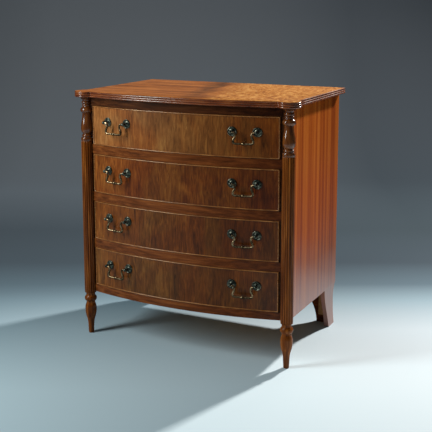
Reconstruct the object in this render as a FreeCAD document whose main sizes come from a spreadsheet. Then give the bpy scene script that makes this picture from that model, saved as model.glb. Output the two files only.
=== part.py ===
import FreeCAD, Part
import math
import os
import re
import Sketcher

# Bow front chest of four drawers, in millimetres: +X right, -Y front, +Z up.
# Origin: on the floor, at the middle of the top board's width and depth.

SIDES = {"left": -1, "right": 1}
DRAWERS = (1, 2, 3, 4)
RAILS = {1: "drawer_rail_upper", 2: "drawer_rail_middle", 3: "drawer_rail_lower"}
SHAFT_REEDS = 16
EDGE_REEDS = 3
TAILS = 3
TURRET_SIDES = 24
TURNING_SIDES = 12
ROSE_SIDES = 8
SMALL_SIDES = 6
FULL_TURN = 360

SIZES = [
    ("OverallHeight", 812, "floor to the top surface"),
    ("OverallDepth", 518, "middle of the bow to the back edge of the top"),
    ("TopThickness", 19, "top board"),
    ("TopHalfWidth", 370, "middle to the straight side edge of the top"),
    ("TopFrontOverhang", 19.4, "top edge ahead of the drawer faces"),
    ("TopBackOverhang", 3, "top edge behind the carcase"),
    ("EdgeFlat", 2.8, "outermost flat of a reed on the top's edge"),
    ("TurretRadius", 37, "round corner of the top over each post"),
    ("BowRadius", 1279, "curve of the drawer faces"),
    ("BowProjection", 44.6, "middle of the drawer faces ahead of the post axes"),
    ("CarcaseHalfWidth", 350, "middle to the outer face of a side, and to a post axis"),
    ("PostRadius", 19.4, "reeded shaft of a post"),
    ("ReedRadius", 3.3, "one reed of the shaft"),
    ("LegHeight", 146.4, "floor to the underside of the carcase"),
    ("FootCapHeight", 3.9, "end of the reeds below the carcase"),
    ("VaseHeight", 143, "turned vase at the head of a post"),
    ("BottomRailHeight", 25, "rail under the lowest drawer"),
    ("RailHeight", 29.4, "rail between two drawers"),
    ("TopRailHeight", 27.4, "rail under the top"),
    ("RailReach", 45, "back edge of a rail behind the post axes"),
    ("OpeningHalfWidth", 324.3, "middle to a stile"),
    ("StileDepth", 22, "stile, front to back"),
    ("LapGap", 0.3, "end of a rail's lap to the post"),
    ("SideThickness", 18, "side panel"),
    ("SideDrop", 5, "side panel's lower edge below the bottom rail"),
    ("BackThickness", 6, "back panel"),
    ("RebateWidth", 8, "rebate for the back panel, across the side"),
    ("RebateDepth", 10, "rebate for the back panel, from the rear edge"),
    ("BackRailThickness", 20, "cross rails inside the back"),
    ("BackRailHeight", 60, "cross rails inside the back"),
    ("LegTopWidth", 106.5, "rear leg where it leaves the side"),
    ("LegKneeWidth", 80, "rear leg at the knee, from the carcase back"),
    ("KneeHeight", 74, "floor to the knee"),
    ("LegFloorWidth", 52, "rear leg on the floor"),
    ("LegTuck", 7, "rear edge of the leg ahead of the carcase back"),
    ("LegSweep", 4.5, "hollow of the leg's outer face"),
    ("BracketThickness", 16, "back bracket of a rear foot"),
    ("BracketTopWidth", 85, "back bracket where it meets the carcase"),
    ("BracketKneeWidth", 61, "back bracket at the knee"),
    ("BracketFloorWidth", 39, "back bracket on the floor"),
    ("BlockSize", 24, "glue block, square"),
    ("BlockHeight", 112, "glue block"),
    ("RunnerWidth", 32, "drawer runner, out from the side"),
    ("GuideWidth", 6.9, "guide strip on a runner"),
    ("GuideHeight", 18, "guide strip on a runner"),
    ("DrawerGap", 0.9, "round a drawer front"),
    ("RunnerGap", 0.3, "drawer side above its runner"),
    ("StopGap", 0.3, "drawer stop behind the front"),
    ("StopWidth", 30, "drawer stop"),
    ("StopDepth", 18, "drawer stop"),
    ("StopHeight", 6, "drawer stop"),
    ("StopOffset", 120, "middle of the chest to a drawer stop"),
    ("FrontThickness", 20, "drawer front"),
    ("DrawerSideThickness", 12, "drawer side"),
    ("DrawerSideDrop", 6, "top of a drawer side below the front's"),
    ("DrawerBackThickness", 10, "drawer back"),
    ("DrawerBackDrop", 14, "top of a drawer back below the front's"),
    ("DrawerRearGap", 6, "rear of a drawer to the back rails"),
    ("BottomThickness", 6, "drawer bottom"),
    ("BottomLift", 12, "drawer bottom above the front's lower edge"),
    ("GrooveDepth", 6, "groove that holds the drawer bottom"),
    ("BeadThickness", 3.2, "cock bead"),
    ("BeadProjection", 2.5, "cock bead ahead of the drawer face"),
    ("BeadRebate", 5.5, "cock bead's seat behind the drawer face"),
    ("TailLap", 7, "drawer front left in front of the dovetails"),
    ("PullOffset", 220, "middle of the chest to a pull"),
    ("PullCentres", 77.5, "between the two posts of a pull"),
    ("PullRise", 15, "posts of a pull above the middle of the front"),
    ("RoseRadius", 14.7, "round backplate of a pull"),
    ("RoseThickness", 4, "round backplate of a pull"),
    ("PivotStandoff", 19, "bail's axis ahead of the drawer face"),
    ("HeadRadius", 5.6, "ball head of a pull post"),
    ("ShankRadius", 2.5, "pull post through the front"),
    ("ShankClearance", 0.3, "round the shank"),
    ("NutRadius", 5, "nut of a pull post, across corners"),
    ("NutThickness", 3, "nut of a pull post"),
    ("CollarRadius", 4, "collar of a pull post, on the rose"),
    ("WaistRadius", 2.9, "waist of a pull post"),
    ("WaistHeight", 2.6, "narrowing of a pull post above the rose"),
    ("PinRadius", 1.5, "pin at each end of a bail"),
    ("PinClearance", 0.08, "round the pin"),
    ("PinDepth", 4, "pin inside the ball head"),
    ("NeckGap", 0.8, "ball head to the end of the bail's rod"),
    ("BailRadius", 2.2, "rod of a bail"),
    ("BailDrop", 33.5, "bail's axis to the middle of its bar"),
    ("BailNeck", 25.3, "middle of a pull to the narrow of the bail's neck"),
    ("BailHip", 31.2, "middle of a pull to the wide of the bail's neck"),
    ("BeadRadius", 3.9, "turned bead in the middle of a bail"),
    ("BeadLength", 9, "turned bead in the middle of a bail"),
    ("ScrewRadius", 2.2, "screw that holds the top"),
    ("ScrewHeadRadius", 4.4, "screw that holds the top"),
    ("ScrewHead", 2.2, "height of a top screw's head"),
    ("ScrewGrip", 12, "screw inside the top board"),
    ("ScrewNear", 78, "middle of the chest to an inner front screw"),
    ("ScrewFar", 233, "middle of the chest to an outer front screw"),
    ("ScrewBack", 195, "middle of the chest to a back screw"),
]

DERIVED = [
    ("CarcaseTop", "OverallHeight - TopThickness"),
    ("TopReed", f"TopThickness / {2 * EDGE_REEDS}"),
    ("TopBack", "OverallDepth / 2"),
    ("CarcaseBack", "TopBack - TopBackOverhang"),
    ("PostAxis", "BowProjection + TopFrontOverhang - OverallDepth / 2"),
    ("BowCentre", "PostAxis - BowProjection + BowRadius"),
    ("TopBow", "BowRadius + TopFrontOverhang"),
    ("ShaftFoot", "LegHeight - FootCapHeight"),
    ("ShaftTop", "CarcaseTop - VaseHeight"),
    ("CoreRadius", "PostRadius - ReedRadius"),
    ("OpeningHeight", "(CarcaseTop - TopRailHeight - LegHeight - BottomRailHeight - 3 * RailHeight) / 4"),
    ("Pitch", "OpeningHeight + RailHeight"),
    ("SideInner", "CarcaseHalfWidth - SideThickness"),
    ("StileBack", "PostAxis + StileDepth"),
    ("RailBack", "PostAxis + RailReach"),
    ("BackFace", "CarcaseBack - RebateDepth"),
    ("BackRailFace", "BackFace - BackRailThickness"),
    ("LegBack", "CarcaseBack - LegTuck"),
    ("BracketFace", "LegBack - BracketThickness"),
    ("RunnerInner", "SideInner - RunnerWidth"),
    ("FrontHeight", "OpeningHeight - 2 * DrawerGap"),
    ("FrontHalf", "OpeningHalfWidth - DrawerGap"),
    ("InnerBow", "BowRadius - FrontThickness"),
    ("DrawerInner", "FrontHalf - DrawerSideThickness"),
    ("SideFoot", "RunnerGap - DrawerGap"),
    ("SideTop", "FrontHeight - DrawerSideDrop"),
    ("DrawerRear", "BackRailFace - DrawerRearGap - BowCentre"),
    ("Shoulder", "-sqrt(InnerBow ^ 2 - DrawerInner ^ 2)"),
    ("TailTip", "TailLap - sqrt(BowRadius ^ 2 - FrontHalf ^ 2)"),
    ("PivotBow", "BowRadius + PivotStandoff"),
    ("NutSeat", "NutRadius ^ 2 / 2 / InnerBow"),
]

doc = FreeCAD.newDocument("bow_front_chest")
dims = doc.addObject("Spreadsheet::Sheet", "dims")


def bound(text):
    """Expression with each size's name pointing at its cell in the sheet."""
    return re.sub(r"\b[A-Z][A-Za-z]+\b", lambda word: "dims." + word.group(), str(text))


def size(text):
    """Number that an expression in the sizes' names stands for."""
    return float(dims.evalExpression(bound(text)))


def fill_sheet():
    for row, (name, number, meaning) in enumerate(SIZES, 1):
        dims.set(f"A{row}", meaning)
        dims.set(f"B{row}", str(number))
        dims.setAlias(f"B{row}", name)
    for row, (name, formula) in enumerate(DERIVED, len(SIZES) + 1):
        dims.set(f"A{row}", name)
        dims.set(f"B{row}", "=" + formula)
        dims.setAlias(f"B{row}", name)
    doc.recompute()


def tie(item, prop, text):
    item.setExpression(prop, bound(text))


def place(item, x="0", y="0", z="0"):
    """Bind an object's place to the sheet."""
    tie(item, "Placement.Base.x", x)
    tie(item, "Placement.Base.y", y)
    tie(item, "Placement.Base.z", z)
    return item


def new_body(name):
    body = doc.addObject("PartDesign::Body", name)
    body.Label = name
    return body


def new_sketch(body, name, role, lift):
    """Sketch on one of the body's own origin planes, lifted along its normal."""
    sketch = body.newObject("Sketcher::SketchObject", name)
    plane = [item for item in body.Origin.OriginFeatures if item.Role == role][0]
    sketch.AttachmentSupport = [(plane, "")]
    sketch.MapMode = "FlatFace"
    if lift != "0":
        tie(sketch, "AttachmentOffset.Base.z", lift)
    return sketch


def pin_point(sketch, edge, end, axis, text):
    """Hold one end of an edge at a distance from the sketch's origin."""
    distance = size(text)
    kind = "Distance" + axis
    if distance < 0:
        index = sketch.addConstraint(Sketcher.Constraint(kind, edge, end, -1, 1, -distance))
        text = f"-({text})"
    else:
        index = sketch.addConstraint(Sketcher.Constraint(kind, -1, 1, edge, end, distance))
    sketch.setExpression(f"Constraints[{index}]", bound(text))


def arc_centre(here, there, hand, bend):
    """Centre of an arc from one point to another, to the left or the right."""
    chord = there - here
    leg = math.sqrt(max(bend ** 2 - 0.25, 0)) * hand
    return (here + there) / 2 + FreeCAD.Vector(-chord.y, chord.x, 0) * leg


def hold_centre(sketch, edge, corner, following, points):
    """Fix an arc's centre by the coordinate across its chord."""
    leg = f"{corner[2] * math.sqrt(max(corner[3] ** 2 - 0.25, 0))}"
    chord = points[1] - points[0]
    if abs(chord.y) > abs(chord.x):
        text = f"(({corner[0]}) + ({following[0]})) / 2 - {leg} * (({following[1]}) - ({corner[1]}))"
        pin_point(sketch, edge, 3, "X", text)
    else:
        text = f"(({corner[1]}) + ({following[1]})) / 2 + {leg} * (({following[0]}) - ({corner[0]}))"
        pin_point(sketch, edge, 3, "Y", text)


def outline(body, name, role, corners, lift="0"):
    """Closed sketch. A corner is (x, y), or (x, y, hand, bend) where the side
    that follows it is an arc with its centre to the left (1) or right (-1).
    The bend is the arc's radius, or a number: the radius over the chord."""
    sketch = new_sketch(body, name, role, lift)
    points = [FreeCAD.Vector(size(corner[0]), size(corner[1]), 0) for corner in corners]
    ends = []
    for index, corner in enumerate(corners):
        here, there = points[index], points[(index + 1) % len(corners)]
        if len(corner) == 2:
            sketch.addGeometry(Part.LineSegment(here, there))
            ends.append((1, 2))
            continue
        hand, bend = corner[2:]
        if isinstance(bend, str):
            bend = size(bend) / (there - here).Length
        centre = arc_centre(here, there, hand, bend)
        first, last = (here, there) if hand > 0 else (there, here)
        angles = [math.atan2(point.y - centre.y, point.x - centre.x) for point in (first, last)]
        circle = Part.Circle(centre, FreeCAD.Vector(0, 0, 1), (here - centre).Length)
        sketch.addGeometry(Part.ArcOfCircle(circle, angles[0], angles[1]))
        ends.append((1, 2) if hand > 0 else (2, 1))
    for index, corner in enumerate(corners):
        following = (index + 1) % len(corners)
        joint = Sketcher.Constraint("Coincident", index, ends[index][1], following, ends[following][0])
        sketch.addConstraint(joint)
        pin_point(sketch, index, ends[index][0], "X", corner[0])
        pin_point(sketch, index, ends[index][0], "Y", corner[1])
        if len(corner) > 2 and isinstance(corner[3], str):
            number = sketch.addConstraint(Sketcher.Constraint("Radius", index, size(corner[3])))
            sketch.setExpression(f"Constraints[{number}]", bound(corner[3]))
        elif len(corner) > 2:
            hold_centre(sketch, index, corner, corners[following], (points[index], points[following]))
    return sketch


def rectangle(body, name, role, low, high, lift="0"):
    corners = [(low[0], low[1]), (high[0], low[1]), (high[0], high[1]), (low[0], high[1])]
    return outline(body, name, role, corners, lift)


def feature(body, kind, sketch, name):
    item = body.newObject("PartDesign::" + kind, name)
    item.Profile = sketch
    return item


def pad(body, sketch, length, name="pad"):
    item = feature(body, "Pad", sketch, name)
    tie(item, "Length", length)
    return item


def pocket(body, sketch, length, along_normal=True, name="pocket"):
    """Cut from the sketch along its normal, or against it, and prove the cut."""
    before = body.Shape.Volume
    item = feature(body, "Pocket", sketch, name)
    item.Reversed = along_normal
    tie(item, "Length", length)
    doc.recompute()
    if not body.Shape.Volume < before:
        raise RuntimeError(body.Label + ": " + name + " cuts nothing")
    return item


def box(name, low, high):
    """Plain board from its lowest to its highest corner."""
    item = doc.addObject("Part::Box", name)
    item.Label = name
    for prop, start, end in zip(("Length", "Width", "Height"), low, high):
        tie(item, prop, f"({end}) - ({start})")
    return place(item, *low)


def group(name, members):
    """Several equal pieces that share one name."""
    item = doc.addObject("Part::Compound", name)
    item.Label = name
    item.Links = members
    return item


def cut(name, base, tool):
    item = doc.addObject("Part::Cut", name)
    item.Label = name
    item.Base = base
    item.Tool = tool
    return item


def shape_node(name, solids):
    """Node for pieces that are repeats of one shape at worked-out places."""
    item = doc.addObject("Part::Feature", name)
    item.Label = name
    item.Shape = solids[0] if len(solids) == 1 else Part.makeCompound(solids)
    return item


def bow_line(radius, half):
    """Depth of a bow, from its centre, at a distance from the middle."""
    return f"-sqrt(({radius}) ^ 2 - ({half}) ^ 2)"


def bow_band(body, name, outer, inner, half, lift="0"):
    """Curved strip between two bows, cut square at both ends."""
    corners = [
        (f"-({half})", bow_line(outer, half), 1, outer),
        (half, bow_line(outer, half)),
        (half, bow_line(inner, half), -1, inner),
        (f"-({half})", bow_line(inner, half)),
    ]
    return outline(body, name, "XY_Plane", corners, lift)


def edge_reeds(x, outward):
    """Reeds stacked up a board's edge from the underside, each cut with three
    flats. The way out of the edge is +1 or -1."""
    corners = []
    for level in range(EDGE_REEDS):
        middle = f"{2 * level + 1} * TopReed"
        corners.append((x, f"{2 * level} * TopReed"))
        corners.append((f"{x} + {outward} * TopReed", f"{middle} - EdgeFlat / 2"))
        corners.append((f"{x} + {outward} * TopReed", f"{middle} + EdgeFlat / 2"))
    return corners + [(x, "TopThickness")]


def flat_turning(name, rows, sides, x, y, z):
    """Turned piece cut with flats, through rings of (radius, height)."""
    rings = []
    for index, (radius, height) in enumerate(rows, 1):
        outline_ring = doc.addObject("Part::RegularPolygon", f"{name}_ring_{index}")
        outline_ring.Polygon = sides
        tie(outline_ring, "Circumradius", radius)
        rings.append(place(outline_ring, x, y, f"{z} + {height}"))
    turning = doc.addObject("Part::Loft", name)
    turning.Sections = rings
    turning.Solid = True
    turning.Ruled = True
    return turning


# ---------------------------------------------------------------- top board

def prism(name, radius, height, x, y, z):
    """Small fastener part, six-sided."""
    item = doc.addObject("Part::Prism", name)
    item.Polygon = SMALL_SIDES
    tie(item, "Circumradius", radius)
    tie(item, "Height", height)
    return place(item, x, y, z)


def top_screws():
    """Screws up through the top rail and the upper back rail."""
    front = "PostAxis + RailReach / 2 - BowProjection / 4"
    back = "BackFace - BackRailThickness / 2"
    seat = "CarcaseTop - TopRailHeight / 2"
    spots = [(f"{hand} * {spread}", front) for hand in SIDES.values() for spread in ("ScrewNear", "ScrewFar")]
    spots += [(f"{hand} * ScrewBack", back) for hand in SIDES.values()]
    screws = []
    for index, (x, y) in enumerate(spots, 1):
        screw = doc.addObject("Part::Fuse", f"screw_{index}")
        screw.Base = prism(f"shank_{index}", "ScrewRadius", "TopRailHeight / 2 + ScrewGrip", x, y, seat)
        screw.Tool = prism(f"head_{index}", "ScrewHeadRadius", "ScrewHead", x, y, f"{seat} - ScrewHead")
        screws.append(screw)
    return group("top_screws", screws)


def top_board(screws):
    """Board with a reeded edge on three sides and a round turret at each front
    corner. The bowed front is cut about the centre of the bow."""
    board = new_body("board")
    place(board, "0", "BowCentre", "CarcaseTop")
    core = "(TopHalfWidth - TopReed)"
    section = edge_reeds(core, 1) + edge_reeds(f"-{core}", -1)[::-1]
    plank = outline(board, "section", "XZ_Plane", section, "BowCentre - TopBack")
    pad(board, plank, "OverallDepth + TopThickness", "plank")
    doc.recompute()
    edge = "(-TopBow + TopReed)"
    far = "(-TopBow - TopHalfWidth / 4)"
    waste = edge_reeds(edge, -1)
    waste = waste + [(edge, "2 * TopThickness"), (far, "2 * TopThickness"), (far, "-TopThickness"),
                     (edge, "-TopThickness")]
    profile = outline(board, "bow_edge", "YZ_Plane", waste)
    before = board.Shape.Volume
    groove = feature(board, "Groove", profile, "bow")
    groove.ReferenceAxis = (profile, ["V_Axis"])
    groove.Midplane = True
    tie(groove, "Angle", "2.5 * asin(TopHalfWidth / TopBow)")
    doc.recompute()
    if not board.Shape.Volume < before:
        raise RuntimeError("top_board: the bow cuts nothing")
    turrets = []
    for side, hand in SIDES.items():
        rim = edge_reeds("(TurretRadius - TopReed)", 1)
        turrets.append(flat_turning("turret_" + side, rim, TURRET_SIDES,
                                    f"{hand} * CarcaseHalfWidth", "PostAxis", "CarcaseTop"))
    whole = doc.addObject("Part::MultiFuse", "top_blank")
    whole.Shapes = [board] + turrets
    return cut("top_board", whole, screws)


# ------------------------------------------------------------- corner posts

# Each row: share of the post's radius, share of the turning's height.
FOOT_TURNING = [
    (0.46, 0.0),
    (0.52, 0.21),
    (0.74, 0.41),
    (0.97, 0.57),
    (0.94, 0.65),
    (0.75, 0.745),
    (0.95, 0.815),
    (0.95, 0.875),
    (0.76, 0.94),
    (0.97, 0.99),
    (0.97, 1.0),
]
VASE_TURNING = [
    (0.97, 0.0),
    (1.0, 0.065),
    (0.75, 0.085),
    (0.86, 0.12),
    (0.67, 0.155),
    (0.97, 0.25),
    (0.98, 0.33),
    (0.86, 0.46),
    (0.71, 0.62),
    (0.98, 0.675),
    (0.98, 0.725),
    (0.65, 0.775),
    (0.74, 0.808),
    (0.65, 0.84),
    (0.80, 0.87),
    (0.69, 0.91),
    (0.93, 0.96),
    (0.93, 1.0),
]


def turned_rows(rows, height):
    """Radius and height of each ring of a turning."""
    return [(f"{across} * PostRadius", f"{up} * {height}") for across, up in rows]


def reed_corners():
    """Section of one reed, cut with three flats, half a pitch round from +X."""
    lean = math.pi / SHAFT_REEDS
    along, across = math.cos(lean), math.sin(lean)
    section = [("CoreRadius / 2", "0"), ("CoreRadius", "-ReedRadius"), ("PostRadius", "-ReedRadius / 2"),
               ("PostRadius", "ReedRadius / 2"), ("CoreRadius", "ReedRadius")]
    return [(f"{along} * {out} - {across} * ({over})", f"{across} * {out} + {along} * ({over})")
            for out, over in section]


def reeded_shaft(side, hand):
    """Round core with reeds all round it, from the foot to the vase."""
    body = new_body("shaft_" + side)
    place(body, f"{hand} * CarcaseHalfWidth", "PostAxis", "ShaftFoot")
    core = new_sketch(body, "core_outline", "XY_Plane", "0")
    circle = core.addGeometry(Part.Circle(FreeCAD.Vector(), FreeCAD.Vector(0, 0, 1), size("CoreRadius")))
    core.addConstraint(Sketcher.Constraint("Coincident", circle, 3, -1, 1))
    radius = core.addConstraint(Sketcher.Constraint("Radius", circle, size("CoreRadius")))
    core.setExpression(f"Constraints[{radius}]", bound("CoreRadius"))
    pad(body, core, "ShaftTop - ShaftFoot", "core")
    reed = pad(body, outline(body, "reed_section", "XY_Plane", reed_corners()), "ShaftTop - ShaftFoot", "reed")
    doc.recompute()
    reeds = body.newObject("PartDesign::PolarPattern", "reeds")
    reeds.Originals = [reed]
    axis = [item for item in body.Origin.OriginFeatures if item.Role == "Z_Axis"][0]
    reeds.Axis = (axis, [""])
    reeds.Angle = FULL_TURN
    reeds.Occurrences = SHAFT_REEDS
    body.Tip = reeds
    doc.recompute()
    return body


def corner_post(side, hand):
    """Turned foot, reeded shaft and vase in one piece, three-quarters round
    above the foot, where it wraps the corner of the carcase."""
    middle = f"{hand} * CarcaseHalfWidth"
    foot = flat_turning("foot_" + side, turned_rows(FOOT_TURNING, "ShaftFoot"), TURNING_SIDES,
                        middle, "PostAxis", "0")
    vase = flat_turning("vase_" + side, turned_rows(VASE_TURNING, "VaseHeight"), TURNING_SIDES,
                        middle, "PostAxis", "ShaftTop")
    post = doc.addObject("Part::MultiFuse", "post_blank_" + side)
    post.Shapes = [foot, reeded_shaft(side, hand), vase]
    low, high = (f"{middle} - 2 * PostRadius", middle) if hand > 0 else (middle, f"{middle} + 2 * PostRadius")
    notch = box("post_notch_" + side, (low, "PostAxis", "LegHeight"),
                (high, "PostAxis + 2 * PostRadius", "OverallHeight"))
    return cut("corner_post_" + side, post, notch)


# ------------------------------------------------------------------ carcase

def side_panel(side, hand):
    """Side board that runs down into a swept rear leg, rebated for the back."""
    body = new_body("side_panel_" + side)
    corners = [
        ("StileBack", "LegHeight - SideDrop"),
        ("CarcaseBack - LegTopWidth", "LegHeight - SideDrop"),
        ("CarcaseBack - LegKneeWidth", "KneeHeight", -1, 2.0),
        ("LegBack - LegFloorWidth", "0"),
        ("LegBack", "0"),
        ("LegBack", "KneeHeight", -1, 1.6),
        ("CarcaseBack", "LegHeight"),
        ("CarcaseBack", "CarcaseTop"),
        ("StileBack", "CarcaseTop"),
    ]
    lift = "SideInner" if hand > 0 else "-CarcaseHalfWidth"
    pad(body, outline(body, "outline", "YZ_Plane", corners, lift), "SideThickness", "board")
    doc.recompute()
    inner, outer = f"{hand} * SideInner", f"{hand} * (SideInner + RebateWidth)"
    rebate = rectangle(body, "rebate_outline", "XY_Plane", (inner, "BackFace"),
                       (outer, "CarcaseBack"), "LegHeight")
    pocket(body, rebate, "CarcaseTop - LegHeight", True, "rebate")
    face = f"{hand} * CarcaseHalfWidth"
    sweep = [
        (face, "0", -hand, "(LegHeight ^ 2 / 4 + LegSweep ^ 2) / 2 / LegSweep"),
        (face, "LegHeight"),
    ]
    hollow = outline(body, "sweep_outline", "XZ_Plane", sweep, "-CarcaseBack")
    pocket(body, hollow, "LegTopWidth", True, "sweep")
    return body


def corner_stiles():
    edges = {"left": ("-CarcaseHalfWidth", "-OpeningHalfWidth"), "right": ("OpeningHalfWidth", "CarcaseHalfWidth")}
    stiles = [box("stile_" + side, (low, "PostAxis", "LegHeight"), (high, "StileBack", "CarcaseTop"))
              for side, (low, high) in edges.items()]
    return group("corner_stiles", stiles)


def bow_rail(name, foot, height):
    """Rail with a bowed front edge that laps over the stiles to the posts."""
    body = new_body(name)
    place(body, "0", "BowCentre", foot)
    lap = "(CarcaseHalfWidth - PostRadius - LapGap)"
    face, back = "PostAxis - BowCentre", "RailBack - BowCentre"
    corners = [
        (f"-{lap}", bow_line("BowRadius", lap), 1, "BowRadius"),
        (lap, bow_line("BowRadius", lap)),
        (lap, face),
        ("OpeningHalfWidth", face),
        ("OpeningHalfWidth", back),
        ("-OpeningHalfWidth", back),
        ("-OpeningHalfWidth", face),
        (f"-{lap}", face),
    ]
    pad(body, outline(body, "outline", "XY_Plane", corners), height, "rail")
    return body


def rail_top(drawer):
    """Height of the surface that a drawer stands over, 1 being the top one."""
    return f"LegHeight + BottomRailHeight + {len(DRAWERS) - drawer} * Pitch"


def rail_height(drawer):
    return "BottomRailHeight" if drawer == DRAWERS[-1] else "RailHeight"


def drawer_runners():
    """Runner with a guide strip, one at each side under each drawer."""
    runners = []
    for drawer in DRAWERS:
        for side, hand in SIDES.items():
            body = new_body(f"runner_{drawer}_{side}")
            height = rail_height(drawer)
            place(body, "0", "RailBack", f"{rail_top(drawer)} - {height}")
            corners = [
                (f"{hand} * RunnerInner", "0"),
                (f"{hand} * SideInner", "0"),
                (f"{hand} * SideInner", f"{height} + GuideHeight"),
                (f"{hand} * (SideInner - GuideWidth)", f"{height} + GuideHeight"),
                (f"{hand} * (SideInner - GuideWidth)", height),
                (f"{hand} * RunnerInner", height),
            ]
            section = outline(body, "section", "XZ_Plane", corners, "RailBack - BackRailFace")
            pad(body, section, "BackRailFace - RailBack", "strip")
            runners.append(body)
    return group("drawer_runners", runners)


def top_kickers():
    """Strips that keep the top drawer from tipping as it is pulled out."""
    kickers = []
    for side, hand in SIDES.items():
        low, high = ("RunnerInner", "SideInner") if hand > 0 else ("-SideInner", "-RunnerInner")
        kickers.append(box("kicker_" + side, (low, "RailBack", "CarcaseTop - TopRailHeight"),
                           (high, "BackRailFace", "CarcaseTop")))
    return group("top_kickers", kickers)


def back_parts(screws):
    """Thin panel in the side rebates, with a cross rail inside it at the top
    and at the bottom."""
    half = "(SideInner + RebateWidth)"
    box("back_panel", (f"-{half}", "BackFace", "LegHeight"), (half, "BackFace + BackThickness", "CarcaseTop"))
    upper = box("upper_cross_rail", ("-SideInner", "BackRailFace", "CarcaseTop - BackRailHeight"),
                ("SideInner", "BackFace", "CarcaseTop"))
    lower = box("lower_cross_rail", ("-SideInner", "BackRailFace", "LegHeight"),
                ("SideInner", "BackFace", "LegHeight + BackRailHeight"))
    group("back_rails", [cut("upper_cross_rail_drilled", upper, screws), lower])


def rear_foot_bracket(side, hand):
    """Back half of a rear foot, shaped like the leg and set inside it."""
    body = new_body("rear_foot_bracket_" + side)
    corners = [
        (f"{hand} * SideInner", "0"),
        (f"{hand} * SideInner", "LegHeight"),
        (f"{hand} * (SideInner - BracketTopWidth)", "LegHeight"),
        (f"{hand} * (SideInner - BracketKneeWidth)", "KneeHeight", -hand, 2.0),
        (f"{hand} * (SideInner - BracketFloorWidth)", "0"),
    ]
    pad(body, outline(body, "outline", "XZ_Plane", corners, "-LegBack"), "BracketThickness", "bracket")
    return body


def glue_blocks():
    blocks = []
    for side, hand in SIDES.items():
        inner, outer = "SideInner - BlockSize", "SideInner"
        low, high = (inner, outer) if hand > 0 else ("-SideInner", "BlockSize - SideInner")
        blocks.append(box("block_" + side, (low, "BracketFace - BlockSize", "LegHeight - BlockHeight"),
                          (high, "BracketFace", "LegHeight")))
    return group("glue_blocks", blocks)


def on_bow(radius, lean, height):
    """Place on a circle about the bow's centre, facing straight out of it."""
    turn = FreeCAD.Rotation(FreeCAD.Vector(0, 0, 1), math.degrees(lean))
    spot = FreeCAD.Vector(radius * math.sin(lean), size("BowCentre") - radius * math.cos(lean), height)
    return FreeCAD.Placement(spot, turn)


def drawer_stops():
    """Two blocks on each rail that the drawer front comes up against."""
    face = size("InnerBow - StopGap")
    width, depth = size("StopWidth"), size("StopDepth")
    stops = []
    for drawer in DRAWERS:
        for hand in SIDES.values():
            corner = FreeCAD.Vector(-width / 2, 0, 0)
            stop = Part.makeBox(width, depth, size("StopHeight"), corner)
            lean = math.asin(hand * size("StopOffset") / face)
            stop.Placement = on_bow(face, lean, size(rail_top(drawer)))
            stops.append(stop)
    return shape_node("drawer_stops", stops)


# ------------------------------------------------------------------ drawers

def side_corners():
    """Side view of a drawer side, with its dovetails at the front end."""
    corners = [("DrawerRear", "SideFoot"), ("Shoulder", "SideFoot")]
    pitch = f"(SideTop - SideFoot) / {TAILS}"
    root, tip = 0.25, 0.36
    for tail in range(TAILS):
        middle = f"SideFoot + {tail + 0.5} * {pitch}"
        corners.append(("Shoulder", f"{middle} - {root} * {pitch}"))
        corners.append(("TailTip", f"{middle} - {tip} * {pitch}"))
        corners.append(("TailTip", f"{middle} + {tip} * {pitch}"))
        corners.append(("Shoulder", f"{middle} + {root} * {pitch}"))
    return corners + [("Shoulder", "SideTop"), ("DrawerRear", "SideTop")]


def side_lift(hand):
    return "DrawerInner" if hand > 0 else "-FrontHalf"


def bottom_corners():
    """Plan of a drawer bottom: a bowed front edge in the groove of the front,
    side edges in the grooves of the sides, square at the back."""
    half, bow = "(DrawerInner + GrooveDepth)", "(InnerBow + GrooveDepth)"
    return [
        (f"-{half}", bow_line(bow, half), 1, bow),
        (half, bow_line(bow, half)),
        (half, "DrawerRear"),
        (f"-{half}", "DrawerRear"),
    ]


def drawer_front(drawer, holes):
    """Bowed front, rebated round its face for the cock beads, with sockets for
    the dovetails and a groove for the bottom."""
    body = new_body(f"front_blank_{drawer}")
    lift = f"{rail_top(drawer)} + DrawerGap"
    place(body, "0", "BowCentre", lift)
    seat = "(BowRadius - BeadRebate)"
    pad(body, bow_band(body, "core_outline", seat, "InnerBow", "FrontHalf"), "FrontHeight", "core")
    face = bow_band(body, "face_outline", "BowRadius", seat, "(FrontHalf - BeadThickness)", "BeadThickness")
    pad(body, face, "FrontHeight - 2 * BeadThickness", "face")
    doc.recompute()
    for side, hand in SIDES.items():
        sockets = outline(body, "sockets_" + side, "YZ_Plane", side_corners(), side_lift(hand))
        pocket(body, sockets, "DrawerSideThickness", True, "sockets")
    groove = outline(body, "groove_outline", "XY_Plane", bottom_corners(), "BottomLift")
    pocket(body, groove, "BottomThickness", True, "groove")
    return cut(f"drawer_{drawer}_front", body, holes)


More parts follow.
